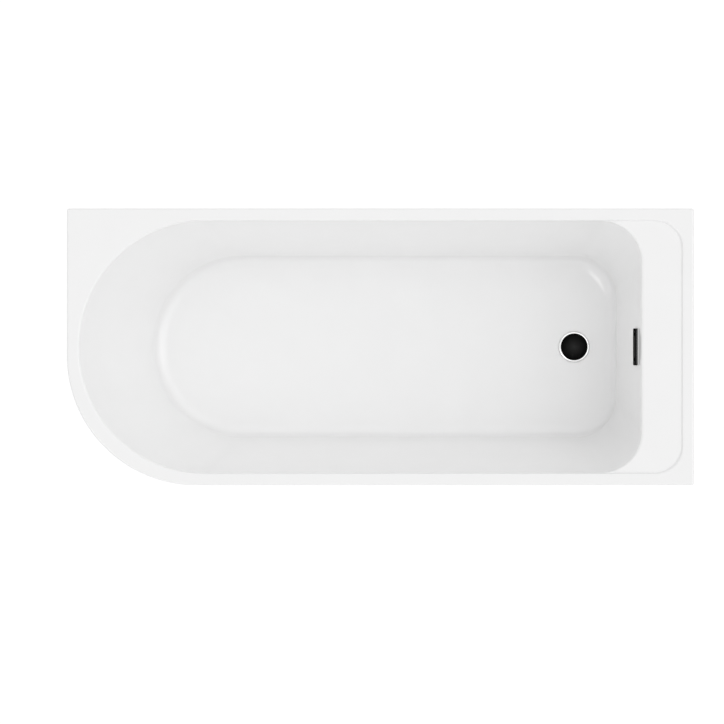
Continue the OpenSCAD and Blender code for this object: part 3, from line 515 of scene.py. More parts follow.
def black_plate():
    """Painted highlight: lighter where a face looks up, as if lit from above."""
    s = matt_black("black_plate", 1.004)
    painted_top_highlight = s.node("SeparateXYZ", {0: s.node("NewGeometry").outputs["Normal"]})
    # Painted highlight: near black on faces that look sideways, dark grey on faces that look up.
    s.color(painted_top_highlight.outputs["Z"], [(0.4, grey(2)), (0.95, grey(74))])


def chrome():
    s = Shade("chrome", grey(246), 0.08, 1)
    s.vary(s.noise(80, 3), 0.985, 1.01)
    s.rough(s.noise(600, 4, 0.6), 0.05, 0.12)
    s.bump(s.noise(1500, 2), 0.002, 0.3)


acrylic("acrylic", grey(249))
acrylic("panel", grey(248))
for finish in (glass_fibre, chipboard, timber, zinc_steel, bright_steel, black_metal, black_cap,
               black_plate, chrome, brass):
    finish()
for name, base, rough, grain in (
        ("foot_plastic", grey(40), 0.5, 0.03), ("white_seal", grey(250), 0.55, 0.01),
        ("black_rubber", grey(38), 0.7, 0.03), ("pipe_plastic", grey(226), 0.4, 0.01),
        ("hose_plastic", rgb(205, 207, 209), 0.42, 0.01)):
    moulded(name, base, rough, grain)


# ------------ tub surface
# Every ring of the tub has one point for each station: a side of the basin and how far along it.
# Side 0 is the round head end, then room side, corner, tap end, corner and wall side.
def smooth(t):
    return t * t * (3 - 2 * t)


CORNER_STEPS = (-0.0062, -0.0045, -0.003, -0.0015, 0.0015, 0.003, 0.0045, 0.0062)
HEAD_S = sorted({round(i / 144, 6) for i in range(144)} | {round(0.25 + d, 6) for d in CORNER_STEPS})
SIDE_STEPS = {1: 30, 2: 28, 3: 16, 4: 28, 5: 30}
STATIONS = [(0, s) for s in HEAD_S] + [(side, i / n) for side, n in SIDE_STEPS.items() for i in range(n)]


def tap_share(s):
    return {3: 1, 2: smooth(s[1]), 4: smooth(1 - s[1])}.get(s[0], 0)


def end_point(s, x0, x1, w, r):
    """A station's place on a D from x0 to x1, w to each side, with tap-end corners of radius r."""
    k, t = s
    if k == 0:
        a = pi / 2 + pi * t
        return (x0 + w + w * cos(a), w * sin(a))
    if k == 1:
        return (x0 + w + (x1 - r - x0 - w) * t, -w)
    if k == 2:
        a = radians(270 + 90 * t)
        return (x1 - r + r * cos(a), r - w + r * sin(a))
    if k == 3:
        return (x1, (r - w) + 2 * (w - r) * t)
    if k == 4:
        a = radians(90 * t)
        return (x1 - r + r * cos(a), w - r + r * sin(a))
    return (x1 - r + (x0 + w - x1 + r) * t, w)


def reach(a, inset):
    """Distance from the head end's centre to the outer outline."""
    w = HALF_W - inset
    dx, dy = cos(a), sin(a)
    flat = w / max(abs(dx), abs(dy))
    for r, q in ((CORNER_R - inset, (CORNER_R - HALF_W, CORNER_R - HALF_W)),
            (max(0.5, WALL_CORNER_R - inset), (WALL_CORNER_R - HALF_W, HALF_W - WALL_CORNER_R))):
        if flat * dx < q[0] and (flat * dy < q[1] if q[1] < 0 else flat * dy > q[1]):
            across = q[0] * dx + q[1] * dy
            inside = across * across - q[0] ** 2 - q[1] ** 2 + r * r
            if inside > 0:
                return across + sqrt(inside)
    return flat


def outer_ring(inset, drop):
    out = []
    for s in STATIONS:
        if s[0] == 0:
            a = pi / 2 + pi * s[1]
            d = reach(a, inset)
            p = (HALF_W - HALF_L + d * cos(a), d * sin(a))
        else:
            r = max(0.5, TAP_CORNER_R - inset)
            p = end_point(s, inset - HALF_L, HALF_L - inset, HALF_W - inset, r)
        out.append((*p, RIM_Z - drop))
    return out


def height(x, drop, level):
    """Falls to the waste by more the deeper the ring is; level 1 makes it flat again."""
    share = max(0, (drop - TILT_START) / (DEPTH - TILT_START))
    return RIM_Z - drop + SLOPE * (WASTE_X - x) * share * (1 - level)


def basin_ring(pull, drop, tap_pull, tap_drop, at_shelf=False, level=0):
    """A ring of the basin, drop below the rim and moved in by pull. The tap end has its own two."""
    x0 = pull + HEAD_RUN * drop / DEPTH - RIM_X
    tap_wall = (tap_drop - SHELF_DROP) / (DEPTH - SHELF_DROP)
    x1 = RIM_X - tap_pull if at_shelf else TAP_EDGE - TAP_RUN * tap_wall - tap_pull
    w = RIM_Y - SIDE_RUN * drop / DEPTH - pull
    out = []
    for s in STATIONS:
        x, y = end_point(s, x0, x1, w, SHELF_CORNER if at_shelf else BASIN_CORNER)
        out.append((x, y, height(x, drop + (tap_drop - drop) * tap_share(s), level)))
    return out


def wall_rings(first, off, under, level=0):
    """The basin's walls and their curve into the floor, off and under the inner surface."""
    walls = curves = 14
    last = DEPTH - FLOOR_CURVE
    out = []
    for i in range(walls):
        drop = first + (last - first) * i / walls
        out.append(basin_ring(-off, drop, -off, drop))
    for i in range(curves + 1):
        t = i / curves
        pull = (CURVE_W + off) * t * t - off
        drop = DEPTH + under - (FLOOR_CURVE + under) * (1 - t) ** 2
        out.append(basin_ring(pull, drop, pull, drop, level=level * smooth(t)))
    return out


def between(a, b, t):
    return [tuple(p + (q - p) * t for p, q in zip(u, v)) for u, v in zip(a, b)]


def floor_rings(last):
    """Rings from the foot of the walls in towards the middle of the floor."""
    mid = [tuple(np.mean(np.array(last), axis=0))] * len(last)
    return [between(last, mid, t) for t in (0.03, 0.25, 0.5, 0.75)]


def upper_rings():
    """Lip, rim, rolled edge, shelf, rolled shelf edge, walls and floor."""
    out = [outer_ring(0, LIP_H), outer_ring(0, LIP_H - 1), outer_ring(0, LIP_R + 2)]
    for i in range(8):
        a = pi / 2 * i / 7
        out.append(outer_ring(LIP_R * (1 - cos(a)), LIP_R * (1 - sin(a))))
    out.append(outer_ring(LIP_R + 1, 0))
    rolls = []
    for i in range(11):
        t = i / 10
        rolls.append(basin_ring(-RIM_ROLL * (1 - sin(pi / 2 * t)), SHELF_DROP * t * t,
                                SHELF_STEP * (t - 0.5), SHELF_DROP * smooth(t), at_shelf=True))
    edges = []
    for i in range(10):
        a = radians(80 * i / 10)
        sink = SHELF_ROLL * (1 - cos(a))
        edges.append(basin_ring(0, SHELF_DROP + 0.6 + sink,
                                -SHELF_ROLL * (1 - sin(a)), SHELF_DROP + sink))
    out += [between(rolls[0], out[-1], 0.04)] + rolls
    out += [between(rolls[-1], edges[0], t) for t in (0.03, 0.35, 0.65, 0.97)] + edges
    out += wall_rings(SHELF_DROP + SHELF_ROLL, 0, 0)
    return out + floor_rings(out[-1])


def under_rings():
    """The same a shell's thickness further in, without the rolls."""
    step, shelf = SHELF_STEP / 2, SHELF_DROP + SHELL_T
    out = [outer_ring(SHELL_T - 0.01, LIP_H), outer_ring(SHELL_T, LIP_H - 0.5), outer_ring(SHELL_T, SHELL_T),
           basin_ring(-SHELL_OFF, SHELL_T, -step - SHELL_T / 4, SHELL_T, at_shelf=True),
           basin_ring(-SHELL_OFF, shelf, step - SHELL_T / 4, shelf, at_shelf=True),
           basin_ring(-SHELL_OFF, shelf + 0.6, -SHELL_OFF - 2, shelf)]
    out += wall_rings(shelf + SHELF_ROLL, SHELL_OFF, SHELL_T)
    return out + floor_rings(out[-1])


TUB_HOLE, BACKING_HOLE = 26, 27
NOSE_HOLE = round_box(SLOT_W + 4.6, SLOT_H + 4.6, SLOT_H / 2 + 2.2, 12)


def hull_holes(r, sides):
    """Cutters for the waste's hole and the overflow's."""
    waste = peg(r, BACKING_Z - PAST, BACKING_Z + 2 * PAST, WASTE_X, sides=sides)
    return [waste, slab(NOSE_HOLE, -PAST, PAST)]


tub = skin(upper_rings()[::-1] + under_rings(), 30)
dish = lathe([(0, 0), (41.4, 0), (41.9, 0.2), (42.1, 0.7), (42.3, 1.4), (42.9, 1.9), (44.2, 2.2),
    (45.6, 9), (0, 9)], 192, RECESS_Z)
cut(tub, [place(dish, AT_WASTE)] + hull_holes(TUB_HOLE, 128), 30)
piece(tub, "acrylic", "tub_shell", name="tub")

rings = wall_rings(BACK_DROP, SHELL_OFF + SEAT, SHELL_T + SEAT)[::-1]
backing = skin(rings + wall_rings(BACK_DROP, SKIN_OFF, SHELL_T + SEAT + BACK_T, 1), 30)
cut(backing, hull_holes(BACKING_HOLE, 96), 30)
piece(backing, "glass_fibre", "glass_fibre_backing", name="backing")

# ------------ apron panel
LIP_IN = SHELL_T + LIP_GAP
PANEL_T, PANEL_Z, PANEL_RETURN = 4, 15, 16
PANEL_IN = LIP_IN + PANEL_T
PANEL_TOP = RIM_Z - SHELL_T - SEAT
PANEL_EDGE, PANEL_BEND, EASE = 1.6, 2, 0.4


def apron_section():
    """Points (inset, z) round the strip, whose foot turns in under the bath."""
    foot, back = PANEL_Z + PANEL_T, PANEL_IN + PANEL_RETURN
    out = arc(LIP_IN + PANEL_EDGE, PANEL_Z + PANEL_EDGE, PANEL_EDGE, 180, 90, 4)
    out += [(back - 2 * EASE, PANEL_Z), (back, PANEL_Z + 2 * EASE), (back, foot - 2 * EASE),
        (back - 2 * EASE, foot)]
    out += arc(PANEL_IN + PANEL_BEND, foot + PANEL_BEND, PANEL_BEND, 270, -90, 3)
    return out + [(PANEL_IN, PANEL_TOP - EASE), (PANEL_IN - EASE, PANEL_TOP), (LIP_IN + EASE, PANEL_TOP),
        (LIP_IN, PANEL_TOP - EASE)]


def apron_line(inset, x_tap, y_wall):
    """The strip's plan line: along the room side, round the corner, along the head end."""
    r, y = CORNER_R - inset, inset - HALF_W
    bend = arc(CORNER_R - HALF_L, CORNER_R - HALF_W, r, 270, -90, 72)
    run = [(x_tap + (bend[0][0] - x_tap) * t, y) for t in (0.2, 0.4, 0.6, 0.8)]
    return [(x_tap, y)] + run + bend + [(inset - HALF_L, y_wall)]


_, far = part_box("apron_panel")
lines = [[(x, y, z) for x, y in apron_line(inset, far.x / MM, far.y / MM)]
         for inset, z in apron_section()]
n_sec, n_pts = len(lines), len(lines[0])
faces = grid_faces(n_pts, n_sec)
faces += [tuple(range(n_sec)), tuple((n_pts - 1) * n_sec + i for i in reversed(range(n_sec)))]
panel = make([line[j] for j in range(n_pts) for line in lines], faces, 30)
piece(panel, "panel", "apron_panel", name="apron")


# ------------ fastening helpers
def thread(r, depth, pitch, z0, z1, sides=18, bore=0, tip=0):
    """A threaded rod or tube along Z, one skin that follows the helix. tip is a point's length."""
    steps = ((0, 0), (0.28, 0), (0.56, 1), (0.72, 1))
    root, blunt = r - depth, 0.04
    rows = 4 * (int((z1 - z0) / pitch) + 4) + 1
    verts, faces, ends = [], [], []
    for i in range(rows):
        at, rise = steps[i % 4]
        for j in range(sides):
            z = z0 + (i // 4 - 2 + at + j / sides) * pitch
            size = min(root + rise * depth, root + max(0, min(z - z0, z1 - z)))
            if tip:
                size *= min(1, max(blunt, (z1 - z) / tip))
            a = 2 * pi * j / sides
            verts.append((size * cos(a), size * sin(a), min(max(z, z0), z1)))
    for i in range(rows - 1):
        for j in range(sides - 1):
            k = i * sides + j
            faces.append((k, k + 1, k + sides + 1, k + sides))
        if i + 5 < rows:
            k, m = i * sides + sides - 1, (i + 4) * sides
            faces.append((k, m, m + sides, k + sides))
    for z, size in ((z0, root), (z1, root * (blunt if tip else 1))):
        for q in (size, bore):
            ends.append(len(verts))
            verts += [(x, y, z) for x, y in circle(q, sides)]
    for j in range(sides):
        k = (j + 1) % sides
        for outer, inner in (ends[:2], ends[2:]):
            faces.append((outer + j, outer + k, inner + k, inner + j) if bore > 0
                else (outer + j, outer + k, inner))
        if bore > 0:
            faces.append((ends[1] + j, ends[1] + k, ends[3] + k, ends[3] + j))
    return make(verts, faces)


def hex_nut(corner, height, bore, chamfer=0.6):
    """A nut from z = 0, its corners chamfered and its bore opened at both ends."""
    edge = corner * cos(radians(30)) - 0.15
    drop, clear = (corner - edge) * tan(radians(30)), corner + 0.1
    nut = prism(circle(corner, 6), 0, height)
    turned = lathe([(0, 0), (edge, 0), (clear, drop), (clear, height - drop), (edge, height),
        (0, height)], 48)
    hole = lathe([(0, -0.05), (bore + chamfer, -0.05), (bore, chamfer), (bore, height - chamfer),
        (bore + chamfer, height + 0.05), (0, height + 0.05)], 36)
    cut(nut, [turned], 25, "INTERSECT")
    cut(nut, [hole], 25)
    return nut


def pan_head(r, height):
    """A screw's head under z = 0, its rounded face and cross recess pointing down."""
    pts = [(0, -height)]
    for i in range(7):
        a = radians(90 * i / 6)
        pts.append((0.55 * r + 0.45 * r * sin(a), -height * (0.35 + 0.65 * cos(a))))
    head = lathe(pts + [(r, -0.1 * height), (0.97 * r, 0), (0, 0)], 28)
    w, l = 0.11 * r, 0.55 * r
    plus = [(w, w), (w, l), (-w, l), (-w, w), (-l, w), (-l, -w), (-w, -w), (-w, -l), (w, -l), (w, -w),
        (l, -w), (l, w)]
    cut(head, [prism(plus, -height - 1, -0.4 * height)])
    return head


def screw(r, length, pitch, head_r, head_t, tip=0):
    """A pan-head screw along Z, its head's underside at z = 0. tip is the length of its point."""
    return join([pan_head(head_r, head_t), thread(r, 0.24 * r, pitch, -0.2, length, 12, tip=tip)])


def wood_screw(through):
    """A pointed screw that goes 12 mm into the board behind what it holds."""
    return screw(2, through + 12, pitch=1.6, head_r=4.5, head_t=2.5, tip=2.6)


# ------------ boards and battens
for name in ("baseboard", "tap_shelf_board"):
    dress(name, "chipboard", 0.5, 2)
for name in ("wall_side_batten", "room_side_batten"):
    dress(name, "timber", 1.2, 3)

# ------------ legs and feet
BOARD_T, BOARD_MARGIN, FOOT_INSET, HEAD_BAR_IN, TAP_BAR_BACK = 18, 14, 75, 420, 145
BAR_T, BAR_H, BAR_W, BAR_FLANGE, BAR_SHORT = 2, 18, 36, 10, 26
ROD_R, ROD_Z, ROD_UP, ROD_SUNK, ROD_THREAD, ROD_PITCH = 6, 8.1, 52, 9, 0.95, 1.75
HOLE_R, PILOT_R, BOLT_HOLE, BOLT_OUT, SCREW_EDGE = 6.3, 2.05, 2.55, 27, 22
PLATE_L, PLATE_W, PLATE_X, PLATE_Y = 96, 70, 39, 26
STAY_Y, STAY_T, STRIP_W = 60, 3, 30
BOARD_TOP = BACKING_Z - SEAT
BAR_TOP = BOARD_TOP - BOARD_T - SEAT
UNDER_BAR = BAR_TOP - BAR_T - SEAT
FOOT_Y = HALF_W - FOOT_INSET
BOLT_Y = FOOT_Y + BOLT_OUT
HEAD_BAR, TAP_BAR = HEAD_BAR_IN - HALF_L, WASTE_X - TAP_BAR_BACK
CENTRE_FOOT = (HEAD_BAR + TAP_BAR) / 2
BOARD_IN = CURVE_W + BOARD_MARGIN
BOARD_X0, BOARD_Y = HEAD_FOOT + BOARD_IN, RIM_Y - SIDE_RUN - BOARD_IN
BAR_LONG = 2 * (HALF_W - PANEL_IN - BAR_SHORT)
BAR_SCREWS = [k * (BOARD_Y - SCREW_EDGE) for k in (-1, -0.35, 0.35, 1)]
PLATE_SCREWS = [(CENTRE_FOOT + i * PLATE_X, j * PLATE_Y) for i in SIDES for j in SIDES]
STAY_SCREWS = (BOARD_X0 + 14, BOARD_X0 + 32)

w, f, h, t = BAR_W / 2, BAR_W / 2 + BAR_FLANGE, BAR_H, BAR_T
hat = [(-w, 0, 3), (w, 0, 3), (w, t - h, 1), (f, t - h, 0.4), (f, -h, 0.4), (w - t, -h, 3),
    (w - t, -t, 1), (t - w, -t, 1), (t - w, -h, 3), (-f, -h, 0.4), (-f, t - h, 0.4), (-w, t - h, 1)]
holes = [(0, side * FOOT_Y, 0, HOLE_R) for side in SIDES] + [(0, y, 0, PILOT_R) for y in BAR_SCREWS]
holes.append((0, -BOLT_Y, 0, BOLT_HOLE))
for name, x in (("leg_bar_head", HEAD_BAR), ("leg_bar_tap", TAP_BAR)):
    piece(pressed(hat, BAR_LONG, shift(x, 0, BAR_TOP), holes), "zinc_steel", name)

plate = prism(round_box(PLATE_L, PLATE_W, 8, 10), BAR_TOP - BAR_T, BAR_TOP)
place(plate, shift(CENTRE_FOOT))
cut(plate, [peg(HOLE_R, 0, 300, CENTRE_FOOT)] + [peg(PILOT_R, 0, 300, x, y, 24) for x, y in PLATE_SCREWS])
piece(bevel(plate, 0.3, 2, 50, flat=True), "zinc_steel", "centre_foot_plate")

places = [shift(x, y, UNDER_BAR) for x in (HEAD_BAR, TAP_BAR) for y in BAR_SCREWS]
places += [shift(x, y, UNDER_BAR) for x, y in PLATE_SCREWS]
places += [shift(x, STAY_Y, BAR_TOP - STAY_T - SEAT) for x in STAY_SCREWS]
piece(copies(wood_screw(BAR_T), places), "fasteners", "leg_screws")

PAD = [(0, 0.8), (5, 0.8), (5.6, 0), (9, 0), (9.6, 0.8), (13, 0.8), (13.6, 0), (17, 0), (17.6, 0.8),
    (20.4, 0.8), (21, 0), (23.8, 0), (24.7, 0.35), (25, 1.2), (25, 4.8), (24.7, 5.7), (23.9, 6.4),
    (14.4, 11.6), (12.8, 12.9), (12.1, 14.3), (12, 15.5), (12, 19.3), (11.7, 19.8), (11.1, 20),
    (6.8, 20), (6.2, 19.6), (6, 18.9), (6, 8), (0, 8)]
FIN = [(11, 8), (23.2, 6.4), (23.4, 7), (12.9, 17.3), (12, 18), (11, 18)]
NUT_FLATS, NUT_H, LOCK_H = 19, 10, 6
NUT_CORNER = NUT_FLATS / 2 / cos(radians(30))
feet = [(x, y) for x in (HEAD_BAR, TAP_BAR) for y in (-FOOT_Y, FOOT_Y)] + [(CENTRE_FOOT, 0)]
for i, (x, y) in enumerate(feet, 1):
    centre = i == 5
    top = BOARD_TOP - ROD_SUNK if centre else BAR_TOP + ROD_UP
    rod = place(thread(ROD_R - RUN, ROD_THREAD, ROD_PITCH, ROD_Z, top), shift(x, y))
    piece(rod, "zinc_steel", f"foot_rod_{i}", f"foot_{i}")
    parts = [lathe(PAD, 72)]
    for k in range(8):
        fin = bevel(prism(FIN, -0.9, 0.9), 0.3, 2)
        parts.append(place(fin, turn("Z", 45 * k + 22.5) @ turn("X", 90)))
    piece(place(join(parts), shift(x, y)), "foot_plastic", f"foot_pad_{i}", f"foot_{i}")
    z = UNDER_BAR - NUT_H
    lock_z = z - SEAT - LOCK_H if centre else BAR_TOP + SEAT
    nut = place(hex_nut(NUT_CORNER, NUT_H, ROD_R), shift(x, y, z))
    piece(nut, "fasteners", f"adjusting_nut_{i}", f"nuts_{i}")
    lock = place(hex_nut(NUT_CORNER, LOCK_H, ROD_R), shift(x, y, lock_z))
    piece(lock, "fasteners", f"lock_nut_{i}", f"nuts_{i}")

# ------------ panel brackets and stay
BR_T, BR_LEG, NUT_CLEAR, STAY_LEG, STAY_IN = 3, 60, 6, 50, 46
BOLT_R, BOLT_THREAD, BOLT_PITCH, BOLT_NUT, BOLT_NUT_H, BOLT_PAST = 2.5, 0.5, 0.8, 4.6, 4, 9
y0, y1 = FOOT_Y + NUT_CORNER + NUT_CLEAR, HALF_W - PANEL_IN - SEAT
section = [(y0, 0, 0.4), (y1, 0, 3.6), (y1, BR_LEG, 0.4), (y1 - BR_T, BR_LEG, 0.4),
    (y1 - BR_T, BR_T, 0.8), (y0, BR_T, 0.4)]
holes = [(BOLT_Y, 0, 0, BOLT_HOLE)]
parts = [pressed(section, STRIP_W, shift(x, 0, BAR_TOP + SEAT) @ turn("Z", -90), holes)
         for x in (HEAD_BAR, TAP_BAR)]
piece(join(parts), "zinc_steel", "panel_brackets")

GRIP = 2 * SEAT + BR_T
cap_screw = lathe([(0, 0), (4.2, 0), (4.25, 0.2), (4.25, 2.9), (4.05, 3.35), (3.7, 3.5), (0, 3.5)], 40)
cut(cap_screw, [prism(circle(2.3, 6), 1.4, 5)])
shank = thread(BOLT_R, BOLT_THREAD, BOLT_PITCH, -GRIP - BAR_T - BOLT_PAST, 0.2, 14)
nut = place(hex_nut(BOLT_NUT, BOLT_NUT_H, BOLT_R, 0.4), shift(z=-GRIP - BAR_T - SEAT - BOLT_NUT_H))
bolt = join([cap_screw, shank, nut])
places = [shift(x, -BOLT_Y, BAR_TOP + GRIP) for x in (HEAD_BAR, TAP_BAR)]
piece(copies(bolt, places), "fasteners", "panel_bracket_bolts")

x0, x1 = BOARD_X0 + STAY_IN, HALF_L - PANEL_IN - SEAT
section = [(x0, 0, 0.4), (STAY_T - x1, 0, 0.8), (STAY_T - x1, STAY_LEG, 0.4), (-x1, STAY_LEG, 0.4),
    (-x1, -STAY_T, 3.6), (x0, -STAY_T, 0.4)]
stay = pressed(section, STRIP_W, shift(0, STAY_Y, BAR_TOP), [(x, 0, 0, PILOT_R) for x in STAY_SCREWS])
piece(stay, "zinc_steel", "head_panel_stay")

# ------------ wall brackets
BATTEN_T, SHELF_BOARD_T, WALL_LEG, WALL_BR_W, WALL_BR_IN = 25, 15, 56, 40, 430
WALL_HOLD, SHELF_HOLD, HOLD_IN, HOLD_Y = 16, 24, 8, 10
WALL_HOLE, WALL_HOLE_Y, WALL_HOLE_DROP = 2.75, 11, 40
BATTEN_Z = RIM_Z - SHELL_T - SEAT - BATTEN_T
SHELF_BOARD_Z = RIM_Z - SHELF_DROP - SHELL_T - SEAT - SHELF_BOARD_T
UNDER_LIP = RIM_Z - LIP_H - FIT
at_walls = [(shift(side * (HALF_L - WALL_BR_IN), HALF_W) @ turn("Z", 90), BATTEN_Z - SEAT,
             LIP_IN + WALL_HOLD) for side in SIDES]
at_walls.append((shift(HALF_L), SHELF_BOARD_Z - SEAT, HALF_L - (RIM_X - SHELF_STEP) + SHELF_HOLD))
parts, places = [], []
for matrix, seat_z, hold in at_walls:
    t, low = BR_T, UNDER_LIP - WALL_LEG
    section = [(-hold, seat_z, 0.4), (-LIP_IN, seat_z, 3.6), (-LIP_IN, UNDER_LIP, 0.6), (0, UNDER_LIP, 2),
        (0, low, 0.4), (-t, low, 0.4), (-t, UNDER_LIP - t, 0.6), (-LIP_IN - t, UNDER_LIP - t, 2),
        (-LIP_IN - t, seat_z - t, 0.6), (-hold, seat_z - t, 0.4)]
    holes = [(HOLD_IN - hold, HOLD_Y * side, seat_z, PILOT_R) for side in SIDES]
    o = pressed(section, WALL_BR_W, Matrix.Identity(4), holes)
    wall_holes = [shift(0, WALL_HOLE_Y * side, UNDER_LIP - WALL_HOLE_DROP) for side in SIDES]
    cut(o, [place(peg(WALL_HOLE, -8, 8, sides=28), at @ turn("Y", 90)) for at in wall_holes])
    parts.append(place(o, matrix))
    places += [matrix @ shift(HOLD_IN - hold, HOLD_Y * side, seat_z - t - SEAT) for side in SIDES]
piece(join(parts), "zinc_steel", "wall_brackets")
piece(copies(wood_screw(BR_T), places), "fasteners", "bracket_screws")

# ------------ overflow
COVER_W, COVER_H, COVER_D, FRONT_T, REAR_T, HEAD_SINK = 100, 45, 5, 1, 2, 2
SCREW_HOLE, HEAD_HOLE, HEAD_R, SCREW_R = 2.05, 3.8, 3.5, 2
BOX_D, BOX_MORE_W, BOX_MORE_H, FLANGE_T, NECK = 34, 10, 23, 4, 12
SCREW_Y = (SLOT_W + COVER_W) / 4
REAR = SKIN_OFF * cos(TILT) + FIT
FLANGE_X = REAR + REAR_T + SEAT
BOX_X = FLANGE_X + FLANGE_T
COVER_FACE = -2 * SEAT - FRONT_T - COVER_D
SLOT_LINE = round_box(SLOT_W, SLOT_H, SLOT_H / 2 - 0.1, 12)
FRONT_LINE, REAR_LINE = round_box(103, 48, 6.5, 10), round_box(102, 51, 6, 10)


def wall_pegs(r, x0, x1):
    return [place(peg(r, x0, x1, side * SCREW_Y, 0, 32), TAP_WALL @ LYING) for side in SIDES]


sunk = COVER_FACE + HEAD_SINK
cover = slab(round_box(COVER_W, COVER_H, 5, 10), COVER_FACE, COVER_FACE + COVER_D)
bevel(cover, 1.1, 4, 50)
cut(cover, [slab(SLOT_LINE, -PAST, PAST)] + wall_pegs(SCREW_HOLE, -PAST, PAST)
    + wall_pegs(HEAD_HOLE, COVER_FACE - 1, sunk))
piece(bevel(cover, 0.35, 2, 60), "black_plate", "overflow_plate")

for seal, outline, x0, x1, past, soft, mat in (
        ("overflow_front_seal", FRONT_LINE, -SEAT - FRONT_T, -SEAT, PAST, 0.3, "white_seal"),
        ("overflow_rear_seal", REAR_LINE, REAR, REAR + REAR_T, 2 * PAST, 0.4, "black_rubber")):
    o = slab(outline, x0, x1)
    cut(o, [slab(NOSE_HOLE, -PAST, past)] + wall_pegs(SCREW_HOLE, -PAST, past))
    piece(bevel(o, soft, 2, 50), mat, seal)

flat_screw = join([pan_head(HEAD_R, HEAD_SINK),
                   thread(SCREW_R, 0.5, 0.8, -0.2, BOX_X - 0.5 - sunk, 12)])
places = [TAP_WALL @ shift(sunk, side * SCREW_Y) @ turn("Y", 90) for side in SIDES]
piece(copies(flat_screw, places), "black_metal", "overflow_screws")

FACET = cos(radians(22.5))
HOSE_X = OVER_X + (BOX_X + BOX_D / 2) * cos(TILT)
ELBOW_Z = OVER_Z - (BOX_X + BOX_D / 2) * sin(TILT)
BOX_H = SLOT_H + BOX_MORE_H
HOSE_BORE, HOSE_T = 13, 1.3
HOSE_ROOT = (HOSE_BORE + FIT + HOSE_T) / FACET
COLLAR_Z = ELBOW_Z - BOX_H / 2 - NECK


def spigot(root):
    """A hollow spigot with a collar, pointing along -Z from the collar's underside."""
    r, collar = HOSE_BORE - FIT, HOSE_ROOT
    bore = r - 2.2
    return lathe([(bore, -29.6), (bore + 0.4, -30), (r - 1.2, -30), (r - 0.5, -29.2), (r, -27.5),
        (r, -0.3), (r + 0.3, 0), (collar - 0.4, 0), (collar, 0.4), (collar, 3.6), (collar - 0.4, 4),
        (HOSE_BORE + 1, 4.2), (HOSE_BORE, 5.2), (HOSE_BORE, root), (bore, root)], 72)


flange = slab(REAR_LINE, FLANGE_X, BOX_X)
box = bevel(slab(round_box(SLOT_W + BOX_MORE_W, BOX_H, 8, 10), BOX_X - 1, BOX_X + BOX_D), 3, 5, 50)
cut(flange, wall_pegs(SCREW_HOLE, 0, 30))
bevel(flange, 0.6, 2, 50)
tube = slab(round_box(SLOT_W + 4, SLOT_H + 4, SLOT_H / 2 + 1.9, 12), 0, FLANGE_X + 1)
ribs = []
for k in range(-2, 3):
    rib = prism([(BOX_X - 0.5, -16.5), (BOX_X + 10, -16.5), (BOX_X - 0.5, -23.5)], -0.9, 0.9)
    ribs.append(place(rib, TAP_WALL @ shift(0, 16 * k, 0) @ turn("X", 90)))
for o in (tube, flange, box):
    cut(o, [slab(SLOT_LINE, -PAST, BOX_X + BOX_D - 3)])
elbow = join([tube, flange, box, place(spigot(18), shift(HOSE_X, 0, COLLAR_Z))] + ribs)
piece(elbow, "pipe_plastic", "overflow_elbow")

# ------------ hose
BODY_R, LOWER_T, INLET_OUT, INLET_DROP, COLLAR_T = 29, 3, 6, 45, 4
BODY_TOP = BACKING_Z - 2 * SEAT - LOWER_T
INLET_Z = BODY_TOP - INLET_DROP
HOSE_TOP = COLLAR_Z - SEAT
INLET_X = WASTE_X + BODY_R + INLET_OUT
HOSE_END = INLET_X + COLLAR_T + SEAT
BEND_R, RIBS, RIB, CUFF_R = 90, 84, 2.4, 15.7
BEND_X, BEND_Z = HOSE_X - BEND_R, INLET_Z + BEND_R
DROP_L, BEND_L = HOSE_TOP - BEND_Z, BEND_R * pi / 2
HOSE_L = DROP_L + BEND_L + BEND_X - HOSE_END
CUFF = 2 * HOSE_ROOT
PITCH = (HOSE_L - 2 * CUFF) / RIBS


def hose_turn(along):
    return pi / 2 * min(1, max(0, (along - DROP_L) / BEND_L))


def hose_centre(along):
    if along <= DROP_L:
        return (HOSE_X, 0, HOSE_TOP - along)
    if along >= DROP_L + BEND_L:
        return (BEND_X - (along - DROP_L - BEND_L), 0, INLET_Z)
    a = hose_turn(along)
    return (BEND_X + BEND_R * cos(a), 0, BEND_Z - BEND_R * sin(a))


def hose_ring(along, r):
    t, c = hose_turn(along), hose_centre(along)
    return [(c[0] + x * cos(t), c[1] + y, c[2] - x * sin(t)) for x, y in circle(r, 40)]


low, high = HOSE_ROOT * FACET, (HOSE_ROOT + RIB) * FACET
ends = ((0, CUFF_R - 0.7), (0.3, CUFF_R - 0.2), (1, CUFF_R), (CUFF - 2.4, CUFF_R),
    (CUFF - 1.2, CUFF_R - 0.4), (CUFF - 0.4, low + 0.2))
wave = ((0, 0), (0.14, 0.1), (0.26, 0.8), (0.36, 1), (0.64, 1), (0.74, 0.8), (0.86, 0.1))
rings = [hose_ring(u, r) for u, r in ends]
rings += [hose_ring(CUFF + (i + at) * PITCH, low + (high - low) * rise)
          for i in range(RIBS) for at, rise in wave]
rings += [hose_ring(HOSE_L - u, r) for u, r in reversed(ends)]
rings += [hose_ring(HOSE_L - HOSE_L * k / 40, HOSE_BORE + FIT) for k in range(41)]
hose = skin(rings, 40, joined=True)
piece(hose, "hose_plastic", "overflow_hose")

